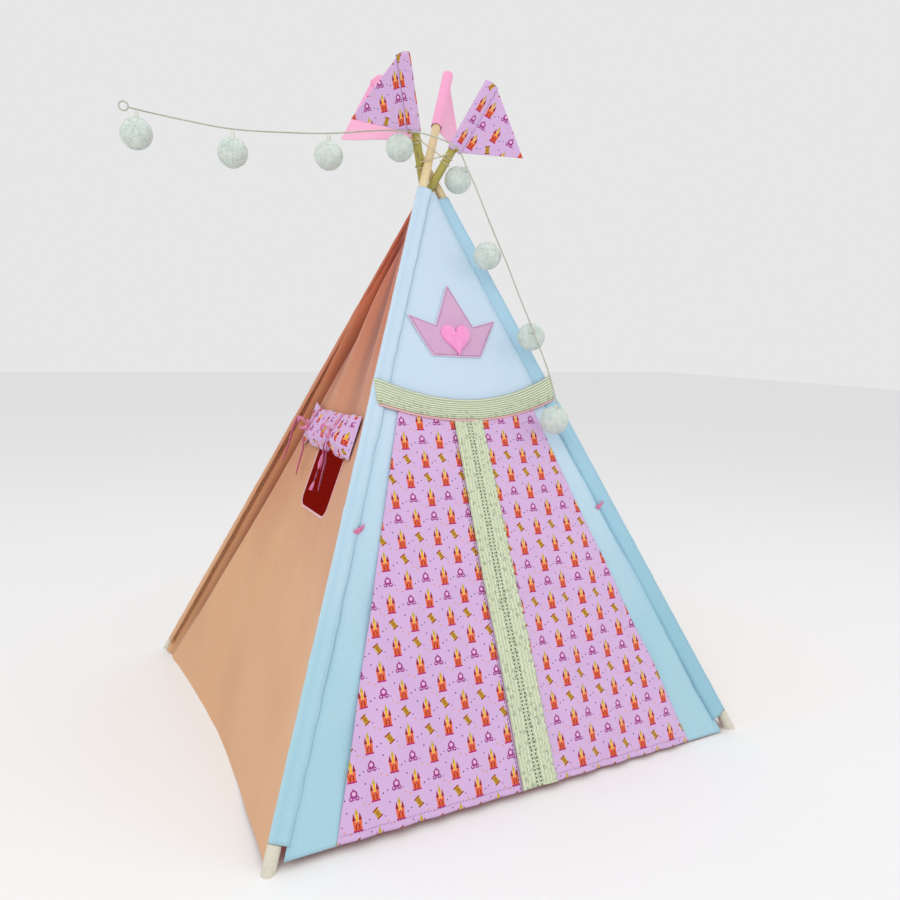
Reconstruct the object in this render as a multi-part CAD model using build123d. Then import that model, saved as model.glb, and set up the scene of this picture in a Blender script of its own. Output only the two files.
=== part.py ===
from build123d import *
import os
from math import atan, cos, degrees, pi, radians, sin, sqrt, tan

# Child's play tent: four crossed poles, a sewn cover, pennants and a garland of cotton-ball lights.
# Millimetres, +Z up, the door faces -Y and the window faces -X. The origin is on the floor.

# ---------------------------------------------------------------- driving dimensions
HALF_BASE = 550.0            # half the side of the square between the pole feet
CROSS_Z = 1290.0             # height at which the four poles cross
POLE_DIA = 20.0
POLE_LAYER = 33.0            # distance between the two layers in which the poles cross
POLE_SHIFT = 14.5            # sideways shift of each pole at the crossing
POLE_FOOT_Z = 9.0            # centre of the pole's lower end, inside its foot cap
POLE_REACH = {"front_left": 298.0, "front_right": 276.0, "rear_left": 238.0, "rear_right": 263.0}

CAP_DIA = 25.0
CAP_UP = 34.0                # how far a foot cap reaches up its pole
CAP_BELOW = 20.0             # length below the pole's end, before the sole is cut level

SLEEVE_DIA = 26.0
SLEEVE_BORE = 20.6
SLEEVE_START = 46.0          # distance up the pole from its foot to the sleeve's lower end
FABRIC_TOP = 1345.0          # distance up a face at which the cover ends
CLOTH = 2.0                  # plain thickness used for every sewn layer
PANEL_LIFT = 13.8            # inner side of a face above the axes of its poles
LAYER_GAP = 0.3

SEAM_S = 822.0               # height up the face of the seam between the upper panel and the door
BORDER_TOP_X = (-188.0, 162.0)
BORDER_FOOT_X = (-446.0, 420.0)
HEM_S = 6.0                  # clearance of the hem above the floor, measured up the face

SLIT_TOP = (-63.0, 776.0)    # the door slit, from under the lace band to the hem
SLIT_FOOT_X = -50.0
LEFT_FOLD_TOP_X = -74.0      # fold lines along which the two door flaps open
LEFT_FOLD_FOOT_X = -255.0
RIGHT_FOLD_TOP_X = -52.0
RIGHT_FOLD_FOOT_X = 190.0
FLAP_GAP = 0.5

LACE_TOP = ((-232.0, 864.0), (-20.0, 826.0), (222.0, 880.0))
LACE_BOTTOM = ((-246.0, 815.0), (-20.0, 780.0), (244.0, 832.0))
LACE_STRIP_X = (-61.0, 12.0)
LACE_STRIP_FOOT_X = (-48.0, 30.0)

CROWN_MID_X = -12.0
CROWN = ((-60.0, 930.0), (60.0, 930.0), (113.0, 1023.0), (52.0, 1003.0),
         (2.0, 1102.0), (-46.0, 1003.0), (-112.0, 1023.0))
HEART_WIDTH = 78.0
HEART_THICK = 13.0
HEART_MID = (-11.0, 974.0)
HEART_EDGE = 5.0             # chamfer around the padded heart
APPLIQUE = 1.2               # thickness of the crown's felt
TIE_SPOTS = ((-322.0, 560.0), (302.0, 566.0))
TIE_SIZE = (26.0, 10.0)
TIE_THICK = 5.0
TIE_TILT = 20.0

SIDE_SAG = 0.10              # inward sag of a side wall, as a share of its half width
BACK_SAG = 0.02
WINDOW_MID_X = 40.0          # across the left face, towards the front
WINDOW_WIDTH = 165.0
WINDOW_S = (556.0, 776.0)
WINDOW_CORNER = 26.0
ROLL_X = (-178.0, 196.0)
ROLL_S = (690.0, 806.0)
ROLL_THICK = 26.0
RIBBON_X = (-86.0, 98.0)
RIBBON_LENGTH = 95.0
RIBBON_WIDTH = 10.0

FLAG_HOIST = 172.0
FLAG_OUT = 154.0             # how far the tip stands off the pole
FLAG_TIP_UP = 68.0           # height of the tip above the pennant's lower end, along the pole
FLAG_HEADING = {"front_left": 45.0, "front_right": 165.0, "rear_left": 325.0, "rear_right": 190.0}
FLAG_SLEEVE = 25.0
FLAG_END = 2.5               # closed end of a pennant's sleeve

TWINE_DIA = 3.0
TWINE_STAND = 18.5           # distance of the twine from the axis of the pole that it is tied to
TWINE_HEIGHTS = ((1362.0, 1317.0), (1311.0, 1330.0))   # on the rear right pole, on the rear left pole

TWINE_SIDE = 29.0            # heading of that offset, in degrees to the left of straight ahead
TURNS_DROP = 6.0             # the turns around a pole lie this far below the twine's end

WIRE_DIA = 3.2
LOOP_RADIUS = 9.0            # closed loop at the wire's far end
RUN_SHARE = 0.45             # of a cord's shorter run, taken up by the arc at its end
BALL_DIA = 64.0
BALL_WALL = 2.5
SOCKET_DIA = 8.0
SOCKET_SUNK = 6.0
SOCKET_CLEAR = 4.5           # from the middle of the wire to the end of a socket
BULB_DIA = 5.0
BULB_DROP = 1.0              # of the bulb's centre, below the socket's end

THETA = atan(HALF_BASE / CROSS_Z)              # lean of each face
FACE_HEIGHT = sqrt(HALF_BASE**2 + CROSS_Z**2)  # up a face, from the floor to the crossing
SPREAD = HALF_BASE / FACE_HEIGHT               # sideways run of a pole per length up the face

FRONT_NORMAL = Vector(0, -cos(THETA), sin(THETA))
REAR_LAYER = Vector(0, -cos(THETA), -sin(THETA))

OUT = "parts"
os.makedirs(OUT, exist_ok=True)


def save(name, shape):
    """Writes one node's STEP file."""
    shape.label = name
    export_step(shape, os.path.join(OUT, name + ".step"))


# ---------------------------------------------------------------- poles and their lines
class PoleLine:
    """The straight axis of one pole. Distances t run along it, from 0 at the crossing, up being positive."""

    def __init__(self, name, side, front):
        lean_y = 1 if front else -1
        layer = 0.5 if name in ("front_left", "rear_left") else -0.5
        shift = -1 if name in ("front_left", "rear_right") else 1
        plane_normal = FRONT_NORMAL if front else REAR_LAYER
        self.name = name
        self.direction = Vector(-side * HALF_BASE, lean_y * HALF_BASE, CROSS_Z).normalized()
        self.origin = Vector(shift * POLE_SHIFT, 0, CROSS_Z) + plane_normal * (layer * POLE_LAYER)
        self.foot = self.at_height(0)

    def at(self, t):
        return self.origin + self.direction * t

    def at_height(self, z):
        return self.at((z - self.origin.Z) / self.direction.Z)

    def from_foot(self, distance):
        return self.foot + self.direction * distance

    def rod(self, start, end, dia):
        plane = Plane(origin=start, z_dir=self.direction)
        return extrude(plane * Circle(dia / 2), (end - start).length)


POLES = {
    "front_left": PoleLine("front_left", -1, True),
    "front_right": PoleLine("front_right", 1, True),
    "rear_left": PoleLine("rear_left", -1, False),
    "rear_right": PoleLine("rear_right", 1, False),
}


def pole(line):
    return line.rod(line.at_height(POLE_FOOT_Z), line.at(POLE_REACH[line.name]), POLE_DIA)


def foot_cap(line):
    """A rubber cap on the pole's lower end, with its sole cut level so that it stands flat."""
    end = line.at_height(POLE_FOOT_Z)
    body = line.rod(end - line.direction * CAP_BELOW, end + line.direction * CAP_UP, CAP_DIA)
    bore = line.rod(end, end + line.direction * (CAP_UP + 1), POLE_DIA)
    below = Pos(end.X, end.Y, -50) * Box(200, 200, 100)
    return body - bore - below


def sleeve(line):
    """The tube of cloth that the pole stands in, from just above the foot cap to the top of the cover."""
    start = line.from_foot(SLEEVE_START)
    end = line.at((FABRIC_TOP - FACE_HEIGHT) / cos(atan(SPREAD)))
    return line.rod(start, end, SLEEVE_DIA) - line.rod(start, end, SLEEVE_BORE)


# ---------------------------------------------------------------- faces of the cover
class TentFace:
    """One face of the tent: a plane on its outer pole and on the foot of its inner one.

    Places on it are (x, s): x across, to the right as seen from outside, and s up the face from the floor.
    """

    def __init__(self, across, outward, left, right, outer):
        inner = right if outer is left else left
        span = outer.direction.cross(inner.foot - outer.foot)
        normal = span.normalized() if span.dot(outward) > 0 else -span.normalized()
        middle = outward * -1
        middle.Z = 0
        start = middle.normalized() * -HALF_BASE
        start = start - normal * (start - outer.foot).dot(normal)
        x_dir = across - normal * across.dot(normal)
        self.plane = Plane(origin=start, x_dir=x_dir, z_dir=normal)
        self.left = [self.plane.to_local_coords(left.at(t)) for t in (0, -1000)]
        self.right = [self.plane.to_local_coords(right.at(t)) for t in (0, -1000)]

    def edge(self, ends, s):
        top, low = ends
        share = (s - top.Y) / (low.Y - top.Y)
        return top.X + (low.X - top.X) * share

    def left_x(self, s):
        return self.edge(self.left, s)

    def right_x(self, s):
        return self.edge(self.right, s)

    def at_lift(self, lift):
        return self.plane.offset(lift)

    def sheet(self, sketch, lift, thick=CLOTH):
        return extrude(self.at_lift(lift) * sketch, thick, dir=self.plane.z_dir)

    def flat(self, corners, lift, thick=CLOTH):
        return self.sheet(Polygon(*corners, align=None), lift, thick)


X_AXIS = Vector(1, 0, 0)
Y_AXIS = Vector(0, 1, 0)
FRONT = TentFace(X_AXIS, Vector(0, -cos(THETA), sin(THETA)), POLES["front_left"], POLES["front_right"],
              POLES["front_left"])
LEFT = TentFace(-Y_AXIS, Vector(-cos(THETA), 0, sin(THETA)), POLES["rear_left"], POLES["front_left"],
             POLES["front_left"])
RIGHT = TentFace(Y_AXIS, Vector(cos(THETA), 0, sin(THETA)), POLES["front_right"], POLES["rear_right"],
              POLES["front_right"])
BACK = TentFace(-X_AXIS, Vector(0, cos(THETA), sin(THETA)), POLES["rear_right"], POLES["rear_left"],
             POLES["rear_right"])

TRIM_LIFT = PANEL_LIFT + CLOTH + LAYER_GAP     # lace and appliques, on top of the panels


def wall_sag(face, x, s, share):
    """How far a wall hangs inwards at (x, s): nothing at its poles, most in the middle and half way up."""
    left, right = face.left_x(s), face.right_x(s)
    half = (right - left) / 2
    across = (x - (left + right) / 2) / half
    upwards = 1 - ((s - 650) / 1000) ** 2
    return share * half * upwards * (1 - across**2)


def draped(face, rows, columns, limits, lift, thick, share):
    """A closed solid that follows the sag of a wall: rows of s, and limits(s) for its two edges."""
    def corner(i, j, height):
        s = rows[i]
        low, high = limits(s)
        x = low + (high - low) * j / columns
        z = lift + height - wall_sag(face, x, s, share)
        return face.plane.from_local_coords(Vector(x, s, z))

    def facet(*points):
        return Face(Wire.make_polygon(list(points), close=True))

    last = len(rows) - 1
    facets = []
    for i in range(last):
        for j in range(columns):
            cell = ((i, j), (i, j + 1), (i + 1, j + 1), (i + 1, j))
            for height in (0, thick):
                a, b, c, d = (corner(*at, height) for at in cell)
                facets += [facet(a, b, c), facet(a, c, d)]
    rim = [((0, j), (0, j + 1)) for j in range(columns)]
    rim += [((last, j), (last, j + 1)) for j in range(columns)]
    rim += [((i, 0), (i + 1, 0)) for i in range(last)]
    rim += [((i, columns), (i + 1, columns)) for i in range(last)]
    for one, two in rim:
        facets.append(facet(corner(*one, 0), corner(*two, 0), corner(*two, thick), corner(*one, thick)))
    solid = Solid(Shell(facets))
    return solid if solid.volume > 0 else Solid(Shell([-f for f in facets]))


def spread_rows(low, high, count):
    return [low + (high - low) * i / count for i in range(count + 1)]


def wall(face, share):
    rows = spread_rows(HEM_S, FABRIC_TOP, 7)
    return draped(face, rows, 8, lambda s: (face.left_x(s), face.right_x(s)), PANEL_LIFT, CLOTH, share)


def left_panel():
    low, high = WINDOW_S
    hole = RectangleRounded(WINDOW_WIDTH, high - low, WINDOW_CORNER)
    hole = Pos(WINDOW_MID_X, (low + high) / 2) * hole
    cutter = LEFT.sheet(hole, -120, 240)
    return wall(LEFT, SIDE_SAG) - cutter


def window_curtain():
    """The curtain gathered up over the window, as one rounded bar that follows the wall."""
    low, high = ROLL_S
    rows = [low, low + 12, (low + high) / 2, high - 12, high]
    return draped(LEFT, rows, 6, lambda s: ROLL_X, PANEL_LIFT + CLOTH + 1.0, ROLL_THICK, SIDE_SAG)


def window_ribbons():
    """The free ends of the two ribbons that hold the gathered curtain up."""
    made = []
    for middle in RIBBON_X:
        rows = spread_rows(ROLL_S[0] - RIBBON_LENGTH, ROLL_S[0] - 2, 3)
        limits = (middle - RIBBON_WIDTH / 2, middle + RIBBON_WIDTH / 2)
        made.append(draped(LEFT, rows, 1, lambda s, ends=limits: ends, PANEL_LIFT + CLOTH + 3.0, 3.0,
                           SIDE_SAG))
    return Compound(children=made)


# ---------------------------------------------------------------- front face
def along(top, foot, s):
    """x on the line between two (x, s) places, at height s."""
    return top[0] + (foot[0] - top[0]) * (s - top[1]) / (foot[1] - top[1])


def upper_front_panel():
    corners = [(FRONT.left_x(SEAM_S), SEAM_S), (FRONT.right_x(SEAM_S), SEAM_S),
               (FRONT.right_x(FABRIC_TOP), FABRIC_TOP), (FRONT.left_x(FABRIC_TOP), FABRIC_TOP)]
    return FRONT.flat(corners, PANEL_LIFT)


def front_border(side):
    """The blue strip between a pole and the door curtains."""
    edge = FRONT.left_x if side < 0 else FRONT.right_x
    which = 0 if side < 0 else 1
    top = SEAM_S - LAYER_GAP
    corners = [(edge(HEM_S), HEM_S), (BORDER_FOOT_X[which], HEM_S), (BORDER_TOP_X[which], top),
               (edge(top), top)]
    return FRONT.flat(corners, PANEL_LIFT)


def slit_x(s):
    return along(SLIT_TOP, (SLIT_FOOT_X, HEM_S), s)


def fold_x(side, s):
    top, foot = ((LEFT_FOLD_TOP_X, LEFT_FOLD_FOOT_X), (RIGHT_FOLD_TOP_X, RIGHT_FOLD_FOOT_X))[side > 0]
    return along((top, SLIT_TOP[1]), (foot, HEM_S), s)


def door_flap(side):
    """The inner part of a door curtain, which folds back along a slanting line."""
    top = SLIT_TOP[1]
    corners = [(slit_x(HEM_S) + side * FLAP_GAP, HEM_S), (fold_x(side, HEM_S), HEM_S),
               (fold_x(side, top), top), (slit_x(top) + side * FLAP_GAP, top)]
    return FRONT.flat(corners, PANEL_LIFT)


def curtain(side):
    """The outer part of a door curtain, sewn to the border and to the seam under the lace band."""
    which = 0 if side < 0 else 1
    seam = SEAM_S - LAYER_GAP
    top = SLIT_TOP[1]
    border_foot = BORDER_FOOT_X[which] - side * LAYER_GAP
    border_top = BORDER_TOP_X[which] - side * LAYER_GAP
    clear = side * FLAP_GAP
    corners = [(border_foot, HEM_S), (border_top, seam), (slit_x(seam) + side * FLAP_GAP, seam),
               (slit_x(seam) + side * FLAP_GAP, top + FLAP_GAP), (fold_x(side, top) + clear, top + FLAP_GAP),
               (fold_x(side, HEM_S) + clear, HEM_S)]
    return FRONT.flat(corners, PANEL_LIFT)


def lace_band():
    """The lace across the face: it sags a little, as it is sewn along a curved seam."""
    top = ThreePointArc(*LACE_TOP)
    bottom = ThreePointArc(*LACE_BOTTOM)
    ends = [Line(LACE_TOP[i], LACE_BOTTOM[i]) for i in (0, 2)]
    outline = make_face(Wire([top.edge(), ends[1].edge(), bottom.edge(), ends[0].edge()]))
    return FRONT.sheet(outline, TRIM_LIFT)


def lace_strip_edges(s):
    share = (s - HEM_S) / (SLIT_TOP[1] - HEM_S)
    return [foot + (top - foot) * share for foot, top in zip(LACE_STRIP_FOOT_X, LACE_STRIP_X)]


def lace_under_band():
    """Height of the vertical lace's upper end, just under the lace band."""
    return LACE_BOTTOM[1][1] - 2.0


def lace_door_strip():
    """The vertical lace on the right flap's free edge, up to the line along which the flap folds."""
    meet = HEM_S
    while lace_strip_edges(meet)[1] < fold_x(1, meet) - FLAP_GAP:
        meet += 1.0
    top = SLIT_TOP[1] - 1.0
    low_left, low_right = lace_strip_edges(HEM_S)
    corners = [(low_left, HEM_S), (low_right, HEM_S), (lace_strip_edges(meet)[1], meet),
               (fold_x(1, top) - FLAP_GAP, top), (lace_strip_edges(top)[0], top)]
    return FRONT.flat(corners, TRIM_LIFT)


def lace_door_top():
    """The rest of the vertical lace, above the fold line, sewn to the fixed part of the curtain."""
    meet = HEM_S
    while lace_strip_edges(meet)[1] < fold_x(1, meet) + 3 * FLAP_GAP:
        meet += 1.0
    top = lace_under_band()
    right = lace_strip_edges(top)[1]
    corners = [(lace_strip_edges(meet)[1], meet), (right, top), (fold_x(1, top) + 3 * FLAP_GAP, top)]
    return FRONT.flat(corners, TRIM_LIFT)


def crown():
    corners = [(CROWN_MID_X + x, s) for x, s in CROWN]
    return FRONT.flat(corners, TRIM_LIFT, APPLIQUE)


def heart():
    """A padded heart: two round lobes on a square corner, crowned towards its middle."""
    lobe = HEART_WIDTH / 3.414
    side = lobe * sqrt(2) / 2
    square = Rot(0, 0, 45) * Rectangle(2 * lobe, 2 * lobe)
    lobes = [Pos(x * side, side) * Circle(lobe) for x in (-1, 1)]
    outline = Pos(HEART_MID[0], HEART_MID[1] - side / 2) * (square + lobes)
    under = TRIM_LIFT + APPLIQUE + LAYER_GAP
    pad = FRONT.sheet(outline, under, HEART_THICK)

    def on_top(edge):
        return abs(FRONT.plane.to_local_coords(edge.center()).Z - under - HEART_THICK) < LAYER_GAP

    return chamfer(pad.edges().filter_by(on_top), HEART_EDGE)


def curtain_tie(side):
    """A short cord loop on the front sleeve seam, which holds the folded curtain."""
    x, s = TIE_SPOTS[0 if side < 0 else 1]
    loop = SlotOverall(*TIE_SIZE)
    return FRONT.sheet(Pos(x, s) * Rot(0, 0, TIE_TILT) * loop, TRIM_LIFT, TIE_THICK)


# ---------------------------------------------------------------- pennants
def pennant(line):
    """A three-cornered flag on a sleeve that is slipped over the end of its pole."""
    top = line.at(POLE_REACH[line.name] + LAYER_GAP + FLAG_END)
    base = top - line.direction * FLAG_HOIST
    angle = radians(FLAG_HEADING[line.name])
    heading = Vector(cos(angle), sin(angle), 0)
    out = (heading - line.direction * heading.dot(line.direction)).normalized()
    tube = line.rod(base, top, FLAG_SLEEVE)
    bore = line.rod(base, top - line.direction * FLAG_END, SLEEVE_BORE)
    flag_plane = Plane(origin=base, x_dir=out, z_dir=out.cross(line.direction))
    corners = [(0, 0.5), (FLAG_OUT, FLAG_TIP_UP), (0, FLAG_HOIST - 0.5)]
    cloth = extrude(flag_plane * Polygon(*corners, align=None), CLOTH / 2, both=True)
    return tube + cloth - bore


# ---------------------------------------------------------------- twine and garland
def arcs_for(points):
    """The largest arc at each inner point that its two runs allow."""
    radii = []
    for before, at, after in zip(points, points[1:], points[2:]):
        into, out_of = at - before, after - at
        half_turn = radians(into.get_angle(out_of)) / 2
        radii.append(RUN_SHARE * min(into.length, out_of.length) / tan(half_turn))
    return radii


def rounded_path(name, places):
    """Straight runs through the places, joined by arcs."""
    points = [Vector(*p) for p in places]
    radii = arcs_for(points)
    print(name, "bend radii", [round(r) for r in radii])
    return FilletPolyline(*points, radius=radii)


def tube_on(name, path, diameter):
    start = Plane(origin=path @ 0, z_dir=path % 0)
    solid = sweep(start * Circle(diameter / 2), path=path)
    expected = pi * diameter**2 / 4 * path.length
    print(name, "length", round(path.length), "volume ratio", round(solid.volume / expected, 4))
    return solid


def before_pole(point, distance):
    """A point moved forwards and to the left, where the twine passes its pole."""
    turn = radians(TWINE_SIDE)
    return point + Vector(-sin(turn), -cos(turn), 0) * distance


def twine_ends(number):
    right_z, left_z = TWINE_HEIGHTS[number]
    return (before_pole(POLES["rear_right"].at_height(right_z), TWINE_STAND),
            before_pole(POLES["rear_left"].at_height(left_z), TWINE_STAND))


def twine(number):
    """One straight length of twine, pulled tight between the two rear poles."""
    start, end = twine_ends(number)
    plane = Plane(origin=start, z_dir=end - start)
    return extrude(plane * Circle(TWINE_DIA / 2), (end - start).length)


def twine_turns():
    """The turns that hold the twine's four ends on the poles."""
    made = []
    ring = POLE_DIA / 2 + LAYER_GAP + TWINE_DIA / 2
    for right_z, left_z in TWINE_HEIGHTS:
        for line, z in ((POLES["rear_right"], right_z), (POLES["rear_left"], left_z)):
            centre = line.at_height(z) - line.direction * TURNS_DROP
            made.append(Plane(origin=centre, z_dir=line.direction) * Torus(ring, TWINE_DIA / 2))
    return Compound(children=made)


# Where the garland's wire goes: in from the left, past the pole tops, and down beside the front edge.
WIRE_ROUTE = [
    (-672, 26, 1348), (-655, 24, 1345), (-555, 11, 1334), (-468, 6, 1328), (-354, 2, 1337),
    (-255, -4, 1346), (-133, -16, 1369), (-56, -34, 1373), (-8, -58, 1360), (42, -66, 1344),
    (62, -68, 1304), (79, -85, 1258), (90, -124, 1186), (103, -163, 1115), (112, -185, 1074),
    (124, -215, 1009), (137, -248, 945), (146, -264, 905), (157, -278, 868), (167, -297, 820),
    (176, -315, 759),
]

# Each light: the centre of its ball, and the place beside the wire from which it hangs.
LIGHTS = [
    ((-660, 22, 1298), (-658, 24, 1345)),
    ((-469, 4, 1281), (-468, 6, 1329)),
    ((-257, -6, 1299), (-256, -4, 1346)),
    ((-86, -14, 1336), (-93, -24, 1371)),
    ((62, -30, 1277), (62, -68, 1304)),
    ((78, -150, 1092), (107, -174, 1094)),
    ((160, -223, 909), (142, -256, 924)),
    ((178, -303, 723), (176, -315, 762)),
]


WIRE_PATH = rounded_path("garland_wire", WIRE_ROUTE)


def wire_place(near):
    """The place on the wire's centre line that is nearest to a given one."""
    return WIRE_PATH.distance_to_with_closest_points(Vertex(*near))[1]


def ball(number):
    """A hollow ball of cotton thread, with the hole that its socket goes in."""
    centre = Vector(*LIGHTS[number][0])
    shell = Sphere(BALL_DIA / 2) - Sphere(BALL_DIA / 2 - BALL_WALL)
    up = (wire_place(LIGHTS[number][1]) - centre).normalized()
    hole = extrude(Plane(origin=(0, 0, 0), z_dir=up) * Circle(SOCKET_DIA / 2 + LAYER_GAP), BALL_DIA)
    return Pos(*centre) * (shell - hole)


def sockets():
    """The small lamp sockets between the wire and the balls, each with its bulb."""
    made = []
    for ball_centre, near in LIGHTS:
        centre, hang = Vector(*ball_centre), wire_place(near)
        up = (hang - centre).normalized()
        start = centre + up * (BALL_DIA / 2 - SOCKET_SUNK)
        end = hang - up * SOCKET_CLEAR
        body = extrude(Plane(origin=start, z_dir=up) * Circle(SOCKET_DIA / 2), (end - start).length)
        bulb = Pos(*(start - up * BULB_DROP)) * Sphere(BULB_DIA / 2)
        print("light", ball_centre, "hangs", round((hang - centre).length, 1), "from the wire")
        made.append(body + bulb)
    return Compound(children=made)


def wire_loop():
    """The wire's far end: a small closed loop that hangs on a hook."""
    start = Vector(*WIRE_ROUTE[0])
    heading = (start - Vector(*WIRE_ROUTE[1])).normalized()
    centre = start + heading * (LOOP_RADIUS + WIRE_DIA / 2 + LAYER_GAP)
    return Plane(origin=centre, x_dir=heading, z_dir=Vector(0, 1, 0)) * Torus(LOOP_RADIUS, WIRE_DIA / 2)


# ---------------------------------------------------------------- write every node
for line in POLES.values():
    save(line.name + "_pole", pole(line))
    save(line.name + "_foot_cap", foot_cap(line))
    save(line.name + "_sleeve", sleeve(line))
    save(line.name + "_pennant", pennant(line))

save("upper_front_panel", upper_front_panel())
for side, name in ((-1, "left"), (1, "right")):
    save(name + "_front_border", front_border(side))
    save(name + "_curtain", curtain(side))
    save(name + "_door_flap", door_flap(side))
    save(name + "_curtain_tie", curtain_tie(side))
save("lace_band", lace_band())
save("lace_door_strip", lace_door_strip())
save("lace_door_top", lace_door_top())
save("crown_applique", crown())
save("heart_applique", heart())

save("left_panel", left_panel())
save("right_panel", wall(RIGHT, SIDE_SAG))
save("back_panel", wall(BACK, BACK_SAG))
save("window_curtain", window_curtain())
save("window_ribbons", window_ribbons())

save("twine_one", twine(0))
save("twine_two", twine(1))
save("twine_turns", twine_turns())
save("garland_wire", tube_on("garland_wire", WIRE_PATH, WIRE_DIA))
save("garland_loop", wire_loop())
save("garland_sockets", sockets())
for number in range(len(LIGHTS)):
    save("light_ball_" + str(number + 1), ball(number))

# Fold lines of the door flaps and the crossing, for the joints. The right flap carries the lace, so it folds
# about the lace's outer side.
for side, name, lift in ((-1, "left", PANEL_LIFT + CLOTH), (1, "right", TRIM_LIFT + CLOTH + LAYER_GAP)):
    ends = [FRONT.plane.from_local_coords(Vector(fold_x(side, s), s, lift)) for s in (HEM_S, SLIT_TOP[1])]
    print(name, "fold line", ends[0], (ends[1] - ends[0]).normalized())
for line in POLES.values():
    print(line.name, "axis at the crossing", line.origin, line.direction, "foot", line.foot)
print("lean of a face", round(degrees(THETA), 3))
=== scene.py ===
"""Looks of a child's play tent: sewn cotton cover on crossed poles, pennants and cotton ball lights.

Everything is in metres in the CAD model's frame: +Z up, the door faces -Y and the window faces -X.
"""

import logging
import math
from dataclasses import dataclass
from enum import Enum
from typing import Callable, Sequence

import bpy
from mathutils import Matrix, Vector, noise


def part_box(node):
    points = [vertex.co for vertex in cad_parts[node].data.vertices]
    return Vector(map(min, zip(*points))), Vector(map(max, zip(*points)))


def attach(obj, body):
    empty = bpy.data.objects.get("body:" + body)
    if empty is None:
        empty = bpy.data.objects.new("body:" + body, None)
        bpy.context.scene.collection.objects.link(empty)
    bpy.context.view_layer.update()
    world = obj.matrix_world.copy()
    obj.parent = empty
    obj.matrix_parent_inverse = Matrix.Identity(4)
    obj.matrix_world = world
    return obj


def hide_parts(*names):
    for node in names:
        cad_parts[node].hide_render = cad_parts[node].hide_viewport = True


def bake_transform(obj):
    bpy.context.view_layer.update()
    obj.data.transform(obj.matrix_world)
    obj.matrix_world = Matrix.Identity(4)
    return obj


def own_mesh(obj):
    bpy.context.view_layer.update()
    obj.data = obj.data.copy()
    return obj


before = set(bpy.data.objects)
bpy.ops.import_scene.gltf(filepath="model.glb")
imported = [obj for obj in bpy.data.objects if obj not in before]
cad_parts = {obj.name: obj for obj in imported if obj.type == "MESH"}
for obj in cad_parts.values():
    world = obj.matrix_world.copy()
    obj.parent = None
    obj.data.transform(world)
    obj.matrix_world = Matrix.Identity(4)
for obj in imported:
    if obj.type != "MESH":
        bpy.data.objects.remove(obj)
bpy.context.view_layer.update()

LOG = logging.getLogger("tent")
Place = Callable[[float, float], Vector]
Route = Sequence[Vector]

HALF_BASE = 0.550
CROSS_Z = 1.290
POLE_LAYER = 0.033
POLE_SHIFT = 0.0145
FACE_HEIGHT = math.hypot(HALF_BASE, CROSS_Z)
LEAN = math.atan(HALF_BASE / CROSS_Z)
HEM = 0.006
FABRIC_TOP = 1.345
SEAM = 0.822
CLOTH_LIFT = 0.0148
CANVAS_THICK = 0.0012
COTTON_THICK = 0.0010
TAPE_THICK = 0.0007
WALL_SAG = 0.10             # share of its half width that a side wall hangs inwards


# ---------------------------------------------------------------- where the poles and faces are
@dataclass(frozen=True)
class PoleAxis:
    """The straight axis of one pole, from a point near the crossing.

    Args:
        origin: the axis's point at the crossing.
        direction: unit vector up the pole.
    """

    origin: Vector
    direction: Vector

    @classmethod
    def of(cls, side: int, front: bool) -> "PoleAxis":
        """The axis of the pole whose foot is on one side, at the front or the rear."""
        lean_y = 1 if front else -1
        outer = side < 0
        shift = -1 if (side < 0) == front else 1
        normal_z = math.sin(LEAN) if front else -math.sin(LEAN)
        normal = Vector((0, -math.cos(LEAN), normal_z))
        direction = Vector((-side * HALF_BASE, lean_y * HALF_BASE, CROSS_Z)).normalized()
        layer = 0.5 if outer else -0.5
        return cls(Vector((shift * POLE_SHIFT, 0, CROSS_Z)) + normal * (layer * POLE_LAYER), direction)

    def at(self, distance: float) -> Vector:
        """The point at a distance up the pole from the crossing."""
        return self.origin + self.direction * distance

    def at_height(self, z: float) -> Vector:
        """The point of the axis at one height."""
        return self.at((z - self.origin.z) / self.direction.z)


FRONT_LEFT = PoleAxis.of(-1, True)
FRONT_RIGHT = PoleAxis.of(1, True)
REAR_LEFT = PoleAxis.of(-1, False)
REAR_RIGHT = PoleAxis.of(1, False)


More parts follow.
